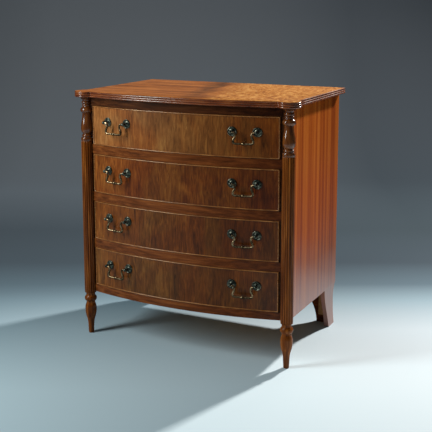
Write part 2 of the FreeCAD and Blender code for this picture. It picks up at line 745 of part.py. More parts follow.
def cock_beads(drawer):
    """Four thin strips let into the edges of a drawer front."""
    lift = f"{rail_top(drawer)} + DrawerGap"
    nose, seat = "(BowRadius + BeadProjection)", "(BowRadius - BeadRebate)"
    strips = []
    for end, height in (("lower", "0"), ("upper", "FrontHeight - BeadThickness")):
        body = new_body(f"bead_{drawer}_{end}")
        place(body, "0", "BowCentre", f"{lift} + {height}")
        pad(body, bow_band(body, "outline", nose, seat, "FrontHalf"), "BeadThickness", "strip")
        strips.append(body)
    inner = "(FrontHalf - BeadThickness)"
    for side, hand in SIDES.items():
        body = new_body(f"bead_{drawer}_{side}")
        place(body, "0", "BowCentre", lift)
        corners = [
            (f"{hand} * {inner}", bow_line(nose, inner)),
            (f"{hand} * FrontHalf", bow_line(nose, "FrontHalf")),
            (f"{hand} * FrontHalf", bow_line(seat, "FrontHalf")),
            (f"{hand} * {inner}", bow_line(seat, inner)),
        ]
        plan = outline(body, "outline", "XY_Plane", corners, "BeadThickness")
        pad(body, plan, "FrontHeight - 2 * BeadThickness", "strip")
        strips.append(body)
    return group(f"drawer_{drawer}_cock_beads", strips)


def drawer_side(drawer, side, hand):
    """Side board with dovetails in front and a groove for the bottom."""
    body = new_body(f"drawer_{drawer}_side_{side}")
    place(body, "0", "BowCentre", f"{rail_top(drawer)} + DrawerGap")
    board = outline(body, "outline", "YZ_Plane", side_corners(), side_lift(hand))
    pad(body, board, "DrawerSideThickness", "board")
    doc.recompute()
    inner, outer = f"{hand} * DrawerInner", f"{hand} * (DrawerInner + GrooveDepth)"
    stop = bow_line("InnerBow + GrooveDepth", "DrawerInner")
    groove = rectangle(body, "groove_outline", "XY_Plane", (inner, stop), (outer, "DrawerRear"), "BottomLift")
    pocket(body, groove, "BottomThickness", True, "groove")
    return body


def drawer_bottom(drawer):
    body = new_body(f"drawer_{drawer}_bottom")
    place(body, "0", "BowCentre", f"{rail_top(drawer)} + DrawerGap + BottomLift")
    pad(body, outline(body, "outline", "XY_Plane", bottom_corners()), "BottomThickness", "board")
    return body


def drawer_back(drawer):
    lift = f"{rail_top(drawer)} + DrawerGap"
    rear = "DrawerRear + BowCentre"
    return box(f"drawer_{drawer}_back",
               ("-DrawerInner", f"{rear} - DrawerBackThickness", f"{lift} + BottomLift + BottomThickness"),
               ("DrawerInner", rear, f"{lift} + FrontHeight - DrawerBackDrop"))


# -------------------------------------------------------------------- pulls

def lean_at(offset, radius):
    return math.asin(offset / radius)


def pull_leans(hand):
    """Direction of a pull from the bow's centre, and half the angle between
    its two posts."""
    return hand * lean_at(size("PullOffset"), size("BowRadius")), lean_at(size("PullCentres / 2"), size("BowRadius"))


def pull_height(drawer):
    return size(f"{rail_top(drawer)} + DrawerGap + FrontHeight / 2 + PullRise")


def facing_out(placement):
    """Turn a shape's own +Z so that it points out of the drawer face."""
    quarter = FreeCAD.Rotation(FreeCAD.Vector(1, 0, 0), 90)
    return placement.multiply(FreeCAD.Placement(FreeCAD.Vector(), quarter))


def post_places(drawer, radius):
    """Places of a drawer's four pull posts at a distance from the bow's centre."""
    places = []
    for hand in SIDES.values():
        middle, half = pull_leans(hand)
        for end in (-1, 1):
            places.append((middle, end, on_bow(radius, middle + end * half, pull_height(drawer))))
    return places


def flat_face(corners):
    return Part.Face(Part.makePolygon(corners + corners[:1]))


def through_rings(rings):
    """Solid with flat faces from each ring of corners to the next."""
    faces = [flat_face(rings[0]), flat_face(rings[-1])]
    for here, following in zip(rings, rings[1:]):
        for corner in range(len(here)):
            faces.append(flat_face([here[corner - 1], here[corner], following[corner], following[corner - 1]]))
    solid = Part.Solid(Part.Shell(faces))
    return solid if solid.Volume > 0 else solid.reversed()


def faceted(rows, sides=SMALL_SIDES):
    """Small turned piece with flats, through rows of radius and height."""
    turns = [2 * math.pi * corner / sides for corner in range(sides)]
    rings = [[FreeCAD.Vector(size(radius) * math.cos(turn), size(radius) * math.sin(turn), size(height))
              for turn in turns] for radius, height in rows]
    return through_rings(rings)


def shank_hole(length):
    """Square hole for the shank of a pull post, halfway each side of the drawer face."""
    half = size("ShankRadius + ShankClearance")
    return Part.makeBox(2 * half, 2 * half, length, FreeCAD.Vector(-half, -half, -length / 2))


def rose_shape():
    """Round backplate: a raised rim, a dished face and a boss for the post."""
    plate = faceted([
        ("RoseRadius", "0"),
        ("RoseRadius", "0.35 * RoseThickness"),
        ("0.86 * RoseRadius", "0.7 * RoseThickness"),
        ("0.7 * RoseRadius", "0.4 * RoseThickness"),
        ("0.4 * RoseRadius", "RoseThickness"),
    ], ROSE_SIDES)
    return plate.cut(shank_hole(size("3 * RoseThickness")))


def post_shape():
    """Pull post: shank, collar on the rose, waist and ball head."""
    return faceted([
        ("ShankRadius", "-FrontThickness - NutSeat"),
        ("ShankRadius", "RoseThickness"),
        ("CollarRadius", "RoseThickness"),
        ("WaistRadius", "RoseThickness + WaistHeight"),
        ("WaistRadius", "PivotStandoff - 0.94 * HeadRadius"),
        ("HeadRadius", "PivotStandoff - 0.4 * HeadRadius"),
        ("HeadRadius", "PivotStandoff + 0.4 * HeadRadius"),
        ("0.55 * HeadRadius", "PivotStandoff + 0.94 * HeadRadius"),
    ])


def nut_shape():
    """Closed nut on the inner end of a post, its seat just clear of the bow."""
    return faceted([("NutRadius", "-NutSeat - NutThickness"), ("NutRadius", "-NutSeat")])


def post_holes(drawer):
    """Holes through a drawer front for the shanks of its four posts."""
    drill = shank_hole(size("3 * FrontThickness"))
    drills = []
    for _, _, spot in post_places(drawer, size("BowRadius")):
        tool = drill.copy()
        tool.Placement = facing_out(spot)
        drills.append(tool)
    return shape_node(f"post_holes_{drawer}", drills)


def pull_roses(drawer, rose):
    solids = []
    for _, _, spot in post_places(drawer, size("BowRadius")):
        piece = rose.copy()
        piece.Placement = facing_out(spot)
        solids.append(piece)
    return shape_node(f"drawer_{drawer}_pull_roses", solids)


def pull_posts(drawer, post, nut):
    """Posts with a bore for the bail's pin, and their nuts inside the front."""
    bore = f"(PinRadius + PinClearance) / {math.cos(math.pi / SMALL_SIDES)}"
    drill = faceted([(bore, "0"), (bore, "2 * HeadRadius")])
    solids = []
    for (middle, end, spot), (_, _, inside) in zip(post_places(drawer, size("BowRadius")),
                                                   post_places(drawer, size("InnerBow"))):
        piece = post.copy()
        piece.Placement = facing_out(spot)
        pivot = on_bow(size("PivotBow"), middle + end * pull_leans(1)[1], pull_height(drawer)).Base
        inward = FreeCAD.Rotation(FreeCAD.Vector(0, 0, 1), math.degrees(middle)).multVec(FreeCAD.Vector(-end, 0, 0))
        socket = drill.copy()
        socket.Placement = FreeCAD.Placement(pivot, FreeCAD.Rotation(FreeCAD.Vector(0, 0, 1), inward))
        solids.append(piece.cut(socket))
        fastener = nut.copy()
        fastener.Placement = facing_out(inside)
        solids.append(fastener)
    return shape_node(f"drawer_{drawer}_pull_posts", solids)


def rod_ring(before, here, after, radius):
    """Section of a rod at a bend of its line, in the plane that halves the bend."""
    into, away = (here - before).normalize(), (after - here).normalize()
    way = (into + away).normalize()
    side = FreeCAD.Vector(way.z, 0, -way.x) / way.dot(into)
    corners = []
    for corner in range(SMALL_SIDES):
        angle = 2 * math.pi * corner / SMALL_SIDES
        offset = side * math.cos(angle) + FreeCAD.Vector(0, 1, 0) * math.sin(angle)
        corners.append(here + offset * radius)
    return corners


def rod(stations):
    """Rod through stations of (across, down, radius), cut square at its ends."""
    spots = [FreeCAD.Vector(across, 0, -down) for across, down, _ in stations]
    line = [spots[0] * 2 - spots[1]] + spots + [spots[-1] * 2 - spots[-2]]
    rings = [rod_ring(line[index], line[index + 1], line[index + 2], station[2])
             for index, station in enumerate(stations)]
    return through_rings(rings)


def bail_shape():
    """Swan-neck bail about its pins' axis: a pin in each ball head, a neck that
    turns in and then out, and a straight bar with a turned bead."""
    reach = size("PivotBow * PullCentres / 2 / BowRadius")
    pin_end, neck_start = reach - size("HeadRadius - PinDepth"), reach - size("HeadRadius + NeckGap")
    neck, hip, drop = size("BailNeck"), size("BailHip"), size("BailDrop")
    thick, pin = size("BailRadius"), size("PinRadius")
    half = [
        (neck_start, 0, thick),
        (neck + thick, 0, thick),
        (neck, 2 * thick, thick),
        (neck, 0.3 * drop, thick),
        (hip, 0.62 * drop, thick),
        (hip, drop - 2 * thick, thick),
        (hip - 2 * thick, drop, thick),
        (size("BeadLength / 2"), drop, thick),
    ]
    bail = rod(half + [(0, drop, size("BeadRadius"))] + [(-across, down, r) for across, down, r in half[::-1]])
    for hand in (-1, 1):
        bail = bail.fuse(rod([(hand * (neck_start - pin), 0, pin), (hand * pin_end, 0, pin)]))
    return bail


def bail(drawer, side, hand, shape):
    middle, half = pull_leans(hand)
    piece = shape.copy()
    item = shape_node(f"drawer_{drawer}_bail_{side}", [piece])
    item.Placement = on_bow(size("PivotBow") * math.cos(half), middle, pull_height(drawer))
    return item


# ----------------------------------------------------------------- assembly

def build():
    screws = top_screws()
    top_board(screws)
    for side, hand in SIDES.items():
        corner_post(side, hand)
        side_panel(side, hand)
        rear_foot_bracket(side, hand)
    corner_stiles()
    cut("top_rail", bow_rail("top_rail_blank", "CarcaseTop - TopRailHeight", "TopRailHeight"), screws)
    for drawer, name in RAILS.items():
        bow_rail(name, f"{rail_top(drawer)} - RailHeight", "RailHeight")
    bow_rail("bottom_rail", "LegHeight", "BottomRailHeight")
    drawer_runners()
    top_kickers()
    back_parts(screws)
    glue_blocks()
    drawer_stops()
    rose, post, nut, swan_neck = rose_shape(), post_shape(), nut_shape(), bail_shape()
    for drawer in DRAWERS:
        drawer_front(drawer, post_holes(drawer))
        cock_beads(drawer)
        drawer_bottom(drawer)
        drawer_back(drawer)
        pull_roses(drawer, rose)
        pull_posts(drawer, post, nut)
        for side, hand in SIDES.items():
            drawer_side(drawer, side, hand)
            bail(drawer, side, hand, swan_neck)
    doc.recompute()


def node_names():
    names = ["top_board", "corner_stiles", "top_rail", "bottom_rail", "drawer_runners", "top_kickers"]
    names += ["back_panel", "back_rails", "glue_blocks", "drawer_stops", "top_screws"]
    names += list(RAILS.values())
    for side in SIDES:
        names += ["corner_post_" + side, "side_panel_" + side, "rear_foot_bracket_" + side]
    for drawer in DRAWERS:
        pieces = ["front", "cock_beads", "side_left", "side_right", "back", "bottom", "pull_roses", "pull_posts"]
        names += [f"drawer_{drawer}_{piece}" for piece in pieces + ["bail_left", "bail_right"]]
    return names


def export():
    """Check every object, then write one file for each node."""
    for item in doc.Objects:
        if "Invalid" in item.State or "Error" in item.State:
            raise RuntimeError(item.Label + " failed: " + str(item.State))
    os.makedirs("parts", exist_ok=True)
    nodes = {name: doc.getObjectsByLabel(name)[0] for name in node_names()}
    for name, item in nodes.items():
        if item.Shape.isNull() or not item.Shape.isValid() or not item.Shape.Solids:
            raise RuntimeError(name + " has no valid solid")
    for name, item in nodes.items():
        item.Shape.exportStep("parts/" + name + ".step")


fill_sheet()
build()
export()
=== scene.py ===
import math

import bmesh
import bpy
from mathutils import Matrix, Vector


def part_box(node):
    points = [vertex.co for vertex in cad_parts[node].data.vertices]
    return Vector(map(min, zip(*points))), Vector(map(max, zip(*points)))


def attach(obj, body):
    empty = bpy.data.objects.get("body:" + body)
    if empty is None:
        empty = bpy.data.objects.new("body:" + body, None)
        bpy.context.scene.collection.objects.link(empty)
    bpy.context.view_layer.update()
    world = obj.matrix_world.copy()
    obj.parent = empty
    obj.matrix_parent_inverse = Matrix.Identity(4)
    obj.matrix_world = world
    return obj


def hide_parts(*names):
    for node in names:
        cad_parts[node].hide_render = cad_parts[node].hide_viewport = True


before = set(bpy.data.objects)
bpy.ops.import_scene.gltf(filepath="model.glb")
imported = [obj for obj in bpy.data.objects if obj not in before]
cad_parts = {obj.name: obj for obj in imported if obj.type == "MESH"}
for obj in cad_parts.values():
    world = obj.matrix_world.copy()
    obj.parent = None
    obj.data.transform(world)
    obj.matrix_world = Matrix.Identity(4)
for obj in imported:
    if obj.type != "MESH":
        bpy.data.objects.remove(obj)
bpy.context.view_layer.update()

# Looks of the bow front chest of drawers, in metres, in the frame of its CAD model:
# +X right, -Y front, +Z up, with the origin on the floor under the top's middle.

MM = 0.001
FULL_TURN = 2 * math.pi
SIDES = {"left": -1, "right": 1}
DRAWERS = (1, 2, 3, 4)

# ------------------------------------------------------------------- sizes

TOP_HALF = 370 * MM
TURRET_RADIUS = 37 * MM
EDGE_REEDS = 3

POST_X = 350 * MM
POST_Y = -195 * MM
POST_RADIUS = 19.4 * MM
REED_RADIUS = 3.3 * MM
CORE_RADIUS = POST_RADIUS - REED_RADIUS
REED_TIP = 4 * MM
SHAFT_REEDS = 16
SHAFT_FOOT = 142.5 * MM
SHAFT_TOP = 650 * MM

BOW_CENTRE = 1039.4 * MM
BOW_RADIUS = 1279 * MM
TOP_BOW = 1298.3 * MM

BEAD_WIDTH = 3.2 * MM
BEAD_NOSE = 2.5 * MM
BEAD_SEAT = 5.5 * MM
FRONT_THICKNESS = 20 * MM
VENEER = 0.15 * MM
BOARD_EASE = 0.7 * MM
CASE_EASE = 0.6 * MM
EASE_SEGMENTS = 2
MERGE_DISTANCE = 1e-6

PULL_OFFSET = 220 * MM
PULL_HALF = 38.75 * MM
PULL_RISE = 15 * MM
ROSE_RADIUS = 14.7 * MM
ROSE_THICKNESS = 4 * MM
PIVOT_STANDOFF = 19 * MM
HEAD_RADIUS = 5.6 * MM
SHANK_RADIUS = 2.5 * MM
SHANK_END = 1 * MM
NUT_RADIUS = 5 * MM
NUT_THICKNESS = 3 * MM
NUT_SIDES = 6
BAIL_DROP = 33.5 * MM

top_low, top_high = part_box("top_board")
TOP_THICKNESS = top_high.z - top_low.z
CARCASE_TOP = top_low.z

# How finely round shapes are drawn: steps along each of them.
ARC_STEPS = 9
EDGE_STEPS = 10
TURRET_STEPS = 36
TOP_BOW_STEPS = 36
TOP_SIDE_STEPS = 8
REED_STEPS = 10
FOOT_STEPS = 64
VASE_STEPS = 60
BEAD_STEPS = 48
NOSE_STEPS = 8
VENEER_STEPS = 80
ROSE_STEPS = 40
STEM_STEPS = 28
SHANK_STEPS = 16
BALL_STEPS = 14
BAIL_STEPS = 16
BAIL_CURVE_STEPS = 5
BACKDROP_STEPS = 12

# Angles in degrees: over which an edge stays sharp or is eased, and under which
# two faces are taken as one flat one.
BOARD_SHARP = 30
POST_SHARP = 42
PIECE_SHARP = 50
EASED_ANGLE = 40
FLAT_ANGLE = 0.2


# ------------------------------------------------------------ mesh helpers

def placed(name, data):
    """New object in the scene."""
    item = bpy.data.objects.new(name, data)
    bpy.context.scene.collection.objects.link(item)
    return item


def material_of(piece, *materials):
    """Give a piece its materials, in the order of its faces' indexes."""
    piece.data.materials.clear()
    for material in materials:
        piece.data.materials.append(material)


def smooth_shading(mesh, sharp_angle):
    """Smooth faces with hard edges where they meet at more than an angle."""
    mesh.polygons.foreach_set("use_smooth", [True] * len(mesh.polygons))
    mesh.set_sharp_from_angle(angle=math.radians(sharp_angle))


def new_piece(name, shell, body, stands_for=(), sharp_angle=PIECE_SHARP):
    """Piece of a shell in the frame's place, riding on a CAD body. It stands
    for the CAD nodes that are named."""
    points, faces = shell
    mesh = bpy.data.meshes.new(name)
    mesh.from_pydata([tuple(point) for point in points], [], faces)
    work = bmesh.new()
    work.from_mesh(mesh)
    bmesh.ops.recalc_face_normals(work, faces=work.faces)
    work.to_mesh(mesh)
    work.free()
    smooth_shading(mesh, sharp_angle)
    piece = placed(name, mesh)
    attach(piece, body)
    if stands_for:
        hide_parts(*stands_for)
    return piece


def ringed(rings, loop=False):
    """Shell, as points and faces, through rings of points that each close on
    themselves. The end rings are filled, or joined to each other in a loop."""
    count, size = len(rings), len(rings[0])
    faces = []
    for ring in range(count if loop else count - 1):
        start, following = ring * size, (ring + 1) % count * size
        for spot in range(size):
            beside = (spot + 1) % size
            faces.append((start + spot, start + beside, following + beside, following + spot))
    if not loop:
        faces.append(tuple(range(size)))
        faces.append(tuple((count - 1) * size + spot for spot in range(size)))
    return [point for ring in rings for point in ring], faces


def joined(shells):
    """One shell of several."""
    points, faces = [], []
    for shell_points, shell_faces in shells:
        start = len(points)
        points += shell_points
        faces += [tuple(index + start for index in face) for face in shell_faces]
    return points, faces


def moved(shell, matrix):
    points, faces = shell
    return [matrix @ Vector(point) for point in points], faces


def about_z(radius, angle, height):
    return Vector((radius * math.cos(angle), radius * math.sin(angle), height))


def turned(profile, steps, first=0.0, sweep=FULL_TURN):
    """Shell of a profile of (radius, height) turned about Z. A sweep under a
    full turn is closed by flat faces through the axis."""
    full = sweep == FULL_TURN
    rings = []
    for radius, height in profile:
        ring = [about_z(radius, first + sweep * step / steps, height) for step in range(steps)]
        if not full:
            ring += [about_z(radius, first + sweep, height), Vector((0, 0, height))]
        rings.append(ring)
    return ringed(rings)


def arc_points(start, end, hand, bend):
    """Points of an arc after its start, with its centre to the left (1) or the
    right (-1) of the way; the bend is its radius over its chord."""
    chord = end - start
    centre = (start + end) / 2 + Vector((-chord.y, chord.x)) * hand * math.sqrt(bend ** 2 - 0.25)
    spoke = start - centre
    turn = 2 * math.asin(0.5 / bend) * hand
    points = []
    for step in range(1, ARC_STEPS + 1):
        angle = turn * step / ARC_STEPS
        points.append(centre + Vector((spoke.x * math.cos(angle) - spoke.y * math.sin(angle),
                                       spoke.x * math.sin(angle) + spoke.y * math.cos(angle))))
    return points


def turning_profile(rows, foot, height, radius):
    """Profile from rows of (share of radius, share of height), with the hand
    and the bend of an arc where the side that leads on from a row is round."""
    spots = [Vector((row[0] * radius, foot + row[1] * height)) for row in rows]
    profile = [spots[0]]
    for row, here, there in zip(rows, spots, spots[1:]):
        profile += arc_points(here, there, *row[2:]) if len(row) > 2 else [there]
    return [(spot.x, spot.y) for spot in profile]


def bow_y(radius, x):
    """Depth of a bow of some radius at a distance from the middle."""
    return BOW_CENTRE - math.sqrt(radius ** 2 - x ** 2)


def curve_through(spots, steps):
    """Smooth line (Catmull-Rom) through points, each of any number of values."""
    line = []
    for index in range(len(spots) - 1):
        before = spots[max(index - 1, 0)]
        here, there = spots[index], spots[index + 1]
        after = spots[min(index + 2, len(spots) - 1)]
        for step in range(steps):
            share = step / steps
            line.append([
                0.5 * (2 * b + (c - a) * share + (2 * a - 5 * b + 4 * c - d) * share ** 2
                       + (3 * b - a - 3 * c + d) * share ** 3)
                for a, b, c, d in zip(before, here, there, after)])
    return line + [list(spots[-1])]


# ------------------------------------------------------------ node helpers

# Of a Mix node's sockets, by index: the factor and the two colours, and the colour that results.
MIX_SOCKETS = (0, 6, 7)
MIX_RESULT = 2


def new_material(name):
    """Material of shader nodes, and their tree."""
    material = bpy.data.materials.new(name)
    material.use_nodes = True
    return material, material.node_tree


def add_node(tree, kind, **values):
    """Shader node with the values of its inputs by their names in small letters."""
    node = tree.nodes.new("ShaderNode" + kind)
    for name, value in values.items():
        node.inputs[name.title()].default_value = value
    return node


def feed(tree, socket, value):
    """Set an input to a number or a colour, or link it to an output."""
    if isinstance(value, (int, float, tuple)):
        socket.default_value = value
    else:
        tree.links.new(value, socket)


def rgb(red, green, blue):
    """Linear colour from an sRGB one written as 0 to 255."""
    return tuple(((c / 255 + 0.055) / 1.055) ** 2.4 if c > 10 else c / 255 / 12.92
                 for c in (red, green, blue)) + (1.0,)


def ramp(tree, source, stops):
    """Colour ramp over a factor; each stop is (place, linear colour or grey)."""
    node = add_node(tree, "ValToRGB")
    elements = node.color_ramp.elements
    while len(elements) < len(stops):
        elements.new(0.5)
    for element, (place, colour) in zip(elements, stops):
        element.position = place
        element.color = colour if isinstance(colour, tuple) else (colour, colour, colour, 1)
    tree.links.new(source, node.inputs[0])
    return node.outputs["Color"]


def maths(tree, operation, first, second, clamp=False):
    node = add_node(tree, "Math")
    node.operation = operation
    node.use_clamp = clamp
    feed(tree, node.inputs[0], first)
    feed(tree, node.inputs[1], second)
    return node.outputs[0]


def mixed(tree, share, first, second):
    """Sum of two values: a share of the second and the rest of the first."""
    rest = maths(tree, "MULTIPLY", first, 1 - share)
    return maths(tree, "ADD", rest, maths(tree, "MULTIPLY", second, share))


def blend_colour(tree, mode, share, first, second):
    node = add_node(tree, "Mix")
    node.data_type = "RGBA"
    node.blend_type = mode
    for index, value in zip(MIX_SOCKETS, (share, first, second)):
        feed(tree, node.inputs[index], value)
    return node.outputs[MIX_RESULT]


def shaded(tree, colour, shade):
    return blend_colour(tree, "MULTIPLY", 1.0, colour, shade)


def axes(tree, source="Object"):
    """X, Y and Z of a texture coordinate."""
    coordinates = add_node(tree, "TexCoord")
    split = add_node(tree, "SeparateXYZ")
    tree.links.new(coordinates.outputs[source], split.inputs[0])
    return split.outputs


def stretched(tree, grain, stretch, shift=(0, 0, 0)):
    """Object coordinates squeezed along the grain, so that noise turns to streaks."""
    scale = tuple(stretch if axis == grain else 1 for axis in "XYZ")
    mapping = add_node(tree, "Mapping", location=shift, scale=scale)
    tree.links.new(add_node(tree, "TexCoord").outputs["Object"], mapping.inputs["Vector"])
    return mapping.outputs["Vector"]


def noise(tree, vector, scale, detail=4, roughness=0.55, distortion=0.0):
    node = add_node(tree, "TexNoise", scale=scale, detail=detail, roughness=roughness, distortion=distortion)
    tree.links.new(vector, node.inputs["Vector"])
    return node.outputs[0]


def surface(tree, colour, roughness):
    """The tree's shader, with its colour and roughness linked."""
    shader = tree.nodes["Principled BSDF"]
    tree.links.new(colour, shader.inputs["Base Color"])
    tree.links.new(roughness, shader.inputs["Roughness"])
    return shader


def relief(tree, shader, height, strength, depth):
    """Fine unevenness of the surface by a bump."""
    node = add_node(tree, "Bump", strength=strength, distance=depth)
    tree.links.new(height, node.inputs["Height"])
    tree.links.new(node.outputs["Normal"], shader.inputs["Normal"])


# ------------------------------------------------------------------- woods

# Noise scales are per metre. A stretch is what is left of the scale along the grain.
BAND_STRETCH = 0.05
FIBRE_SCALE = 520
FIBRE_STRETCH = 0.018
FIBRE_SHARE = 0.28
PORE_SCALE = 1400
PORE_STRETCH = 0.045
MOTTLE_STRETCH = 0.45
SMUDGE_SCALE = 9
SMUDGE_STRETCH = 0.5
WOOD_RELIEF = 0.16
WOOD_RELIEF_DEPTH = 0.2 * MM
WOOD_SHEEN = (1.0, 0.8, 0.62, 1.0)
TONE_PLACES = {3: (0.34, 0.5, 0.66), 4: (0.3, 0.43, 0.53, 0.68)}
# Added to X, so that a ramp from 0 to 1 starts at the chest's left side.
FROM_LEFT = 0.4
# Of the seam in the top's veneer: how far it wanders in metres, and its run to
# the left for each metre towards the back.
SEAM_WANDER = 0.13
SEAM_SLANT = 0.225
SEAM_COLOUR = rgb(84, 50, 24)


def wood(name, grain, tones, bands, polish, band_stretch=BAND_STRETCH, wander=0.25, mottle=0.0,
         mottle_scale=30, pores=0.3, gloss=(0.34, 0.46), shine=0.2, coat=0.14, shift=(0, 0, 0),
         places=None, figure=None):
    """Polished wood: broad bands of tone along the grain, fine fibres, dark
    open pores and, in figured veneer, a mottle across the grain. The tones run
    from dark to light. A figure-and-light function adds what changes over the
    piece: figure, and on some pieces painted light and shade."""
    material, tree = new_material(name)
    broad = noise(tree, stretched(tree, grain, band_stretch, shift), bands, detail=3,
                  roughness=0.5, distortion=wander)
    fibres = noise(tree, stretched(tree, grain, FIBRE_STRETCH, shift), FIBRE_SCALE, detail=5, roughness=0.65)
    pore_field = noise(tree, stretched(tree, grain, PORE_STRETCH, shift), PORE_SCALE, detail=2,
                       roughness=0.5)
    tone = mixed(tree, FIBRE_SHARE, broad, fibres)
    if mottle:
        cross = noise(tree, stretched(tree, grain, MOTTLE_STRETCH, shift), mottle_scale, detail=3,
                      roughness=0.6, distortion=1.2)
        tone = mixed(tree, mottle, tone, cross)
    places = places or TONE_PLACES[len(tones)]
    colour = ramp(tree, tone, [(place, rgb(*shade)) for place, shade in zip(places, tones)])
    if figure:
        colour = figure(tree, colour)
    pore_shade = ramp(tree, pore_field, [(0.33, 1 - pores), (0.44, 1.0)])
    colour = shaded(tree, colour, pore_shade)
    smudges = noise(tree, stretched(tree, grain, SMUDGE_STRETCH, shift), SMUDGE_SCALE)
    roughness = ramp(tree, smudges, [(0.3, gloss[0]), (0.7, gloss[1])])
    shader = surface(tree, colour, roughness)
    relief(tree, shader, mixed(tree, 0.3, pore_shade, fibres), WOOD_RELIEF, WOOD_RELIEF_DEPTH)
    shader.inputs["Coat Weight"].default_value = polish
    shader.inputs["Coat Roughness"].default_value = coat
    shader.inputs["Specular IOR Level"].default_value = shine
    shader.inputs["Specular Tint"].default_value = WOOD_SHEEN
    return material


def top_figure(tree, colour):
    """Two leaves that meet on a dark seam: plain to the left, a golden flame
    to the right. The seam runs from the back edge to the front at a slant."""
    place = axes(tree)
    waves = noise(tree, stretched(tree, "Y", 0.5), 17, roughness=0.6)
    warp = maths(tree, "MULTIPLY", waves, SEAM_WANDER)
    slant = maths(tree, "MULTIPLY", place["Y"], SEAM_SLANT)
    across = maths(tree, "ADD", maths(tree, "ADD", place["X"], slant), warp)
    flame = noise(tree, stretched(tree, "Y", 0.55), 34, detail=6, roughness=0.7, distortion=2.6)
    gold = ramp(tree, flame, [(0.36, rgb(142, 76, 26)), (0.5, rgb(204, 128, 54)), (0.64, rgb(240, 176, 98))])
    leaf = ramp(tree, across, [(0.08, 0.0), (0.17, 1.0)])
    colour = blend_colour(tree, "MIX", leaf, colour, gold)
    seam = ramp(tree, across, [(0.0, 0.0), (0.055, 0.85), (0.1, 0.0)])
    towards_back = ramp(tree, maths(tree, "ADD", place["Y"], 0.3), [(0.0, 0.35), (0.45, 1.0)])
    share = maths(tree, "MULTIPLY", seam, towards_back)
    return blend_colour(tree, "MIX", share, colour, SEAM_COLOUR)


def rail_figure(tree, colour):
    """Painted shade: the wood is painted darker to the right."""
    across = maths(tree, "ADD", axes(tree)["X"], FROM_LEFT)
    painted_light_fall = ramp(tree, across, [(0.1, rgb(255, 255, 255)), (0.45, rgb(246, 240, 232)),
                               (0.72, rgb(192, 170, 146))])
    return shaded(tree, colour, painted_light_fall)


def side_figure(tree, colour):
    """Darker towards the back and lower down, with a painted sheen, pale pink
    standing in for the floor's reflection, and more of a polished coat next to the floor."""
    place = axes(tree)
    lower_darkening = ramp(tree, place["Z"], [(0.1, rgb(232, 228, 222)), (0.26, rgb(232, 222, 190)),
                                  (0.36, rgb(250, 230, 180)), (0.53, rgb(255, 240, 200)),
                                  (0.6, rgb(255, 252, 240))])
    colour = shaded(tree, colour, lower_darkening)
    towards_back = ramp(tree, place["Y"], [(0.02, 1.0), (0.2, 0.8)])
    colour = shaded(tree, colour, towards_back)
    # Painted sheen: pale pink mixed in next to the floor stands in for the floor's reflection in the polish.
    painted_sheen = ramp(tree, place["Z"], [(0.02, 0.62), (0.12, 0.46), (0.2, 0.2), (0.28, 0.0)])
    coat = ramp(tree, place["Z"], [(0.16, 1.0), (0.3, 0.7), (0.42, 0.4), (0.6, 0.25)])
    tree.links.new(coat, tree.nodes["Principled BSDF"].inputs["Coat Weight"])
    return blend_colour(tree, "MIX", painted_sheen, colour, rgb(170, 138, 132))


def veneer_figure(tree, colour):
    """Lighter to the left, passing into darker to the right, partly a change of tone across the veneer and
    partly painted light from the left and painted shade to the right; with redder clouds.
    """
    place = axes(tree)
    cloud = noise(tree, stretched(tree, "Z", 0.6), 7, roughness=0.6, distortion=0.8)
    from_left = maths(tree, "ADD", place["X"], FROM_LEFT)
    across = maths(tree, "ADD", from_left, maths(tree, "MULTIPLY", cloud, 0.3))
    # Painted light and shade, partly also tone: lighter at the left end, where a sheen is painted in, and
    # darker to the right.
    painted_light_fall = ramp(tree, across, [(0.18, rgb(255, 255, 255)), (0.42, rgb(202, 190, 168)),
                               (0.9, rgb(172, 146, 80))])
    glaze = ramp(tree, cloud, [(0.38, rgb(246, 246, 240)), (0.58, rgb(255, 230, 200))])
    return shaded(tree, shaded(tree, colour, painted_light_fall), glaze)


TOP_WOOD = wood("top_mahogany", "X", ((112, 58, 24), (148, 82, 34), (176, 102, 44), (206, 130, 64)),
                bands=34, band_stretch=0.12, mottle=0.3, mottle_scale=40, polish=0.12, gloss=(0.36, 0.46),
                figure=top_figure)
EDGE_WOOD = wood("edge_mahogany", "X", ((86, 34, 12), (122, 56, 22), (156, 84, 38)),
                 bands=120, polish=0.5, gloss=(0.2, 0.3), shine=0.4)
SIDE_WOOD = wood("side_mahogany", "Z", ((124, 46, 8), (150, 66, 14), (174, 86, 24), (200, 112, 42)),
                 bands=50, band_stretch=0.008, pores=0.1, polish=1.0, gloss=(0.4, 0.5), shine=0.04,
                 coat=0.05, figure=side_figure)
RAIL_WOOD = wood("frame_mahogany", "X", ((80, 38, 12), (112, 56, 22), (142, 78, 34)),
                 bands=120, polish=0.15, shine=0.1, figure=rail_figure)
# The top rail is darker than the other rails: painted shade under the top's overhang.
TOP_RAIL_PAINTED_SHADE_WOOD = wood("top_rail_mahogany", "X", ((48, 20, 6), (72, 34, 12), (98, 52, 22)),
                     bands=120, polish=0.15, shine=0.1, figure=rail_figure)
# Very dark tones: painted shade on the stiles beside the corner posts.
UPRIGHT_PAINTED_SHADE_WOOD = wood("upright_mahogany", "Z", ((36, 14, 4), (54, 24, 8), (76, 40, 16)),
                    bands=120, polish=0.15, shine=0.05)
VASE_WOOD = wood("post_mahogany", "Z", ((64, 26, 6), (96, 46, 12), (132, 72, 24)),
                 bands=130, polish=1.0, gloss=(0.26, 0.36), shine=0.05, coat=0.1)
SHAFT_WOOD = wood("shaft_mahogany", "Z", ((80, 34, 6), (118, 58, 14), (162, 92, 34)),
                  bands=130, polish=0.25, gloss=(0.26, 0.36), shine=0.05, coat=0.2)
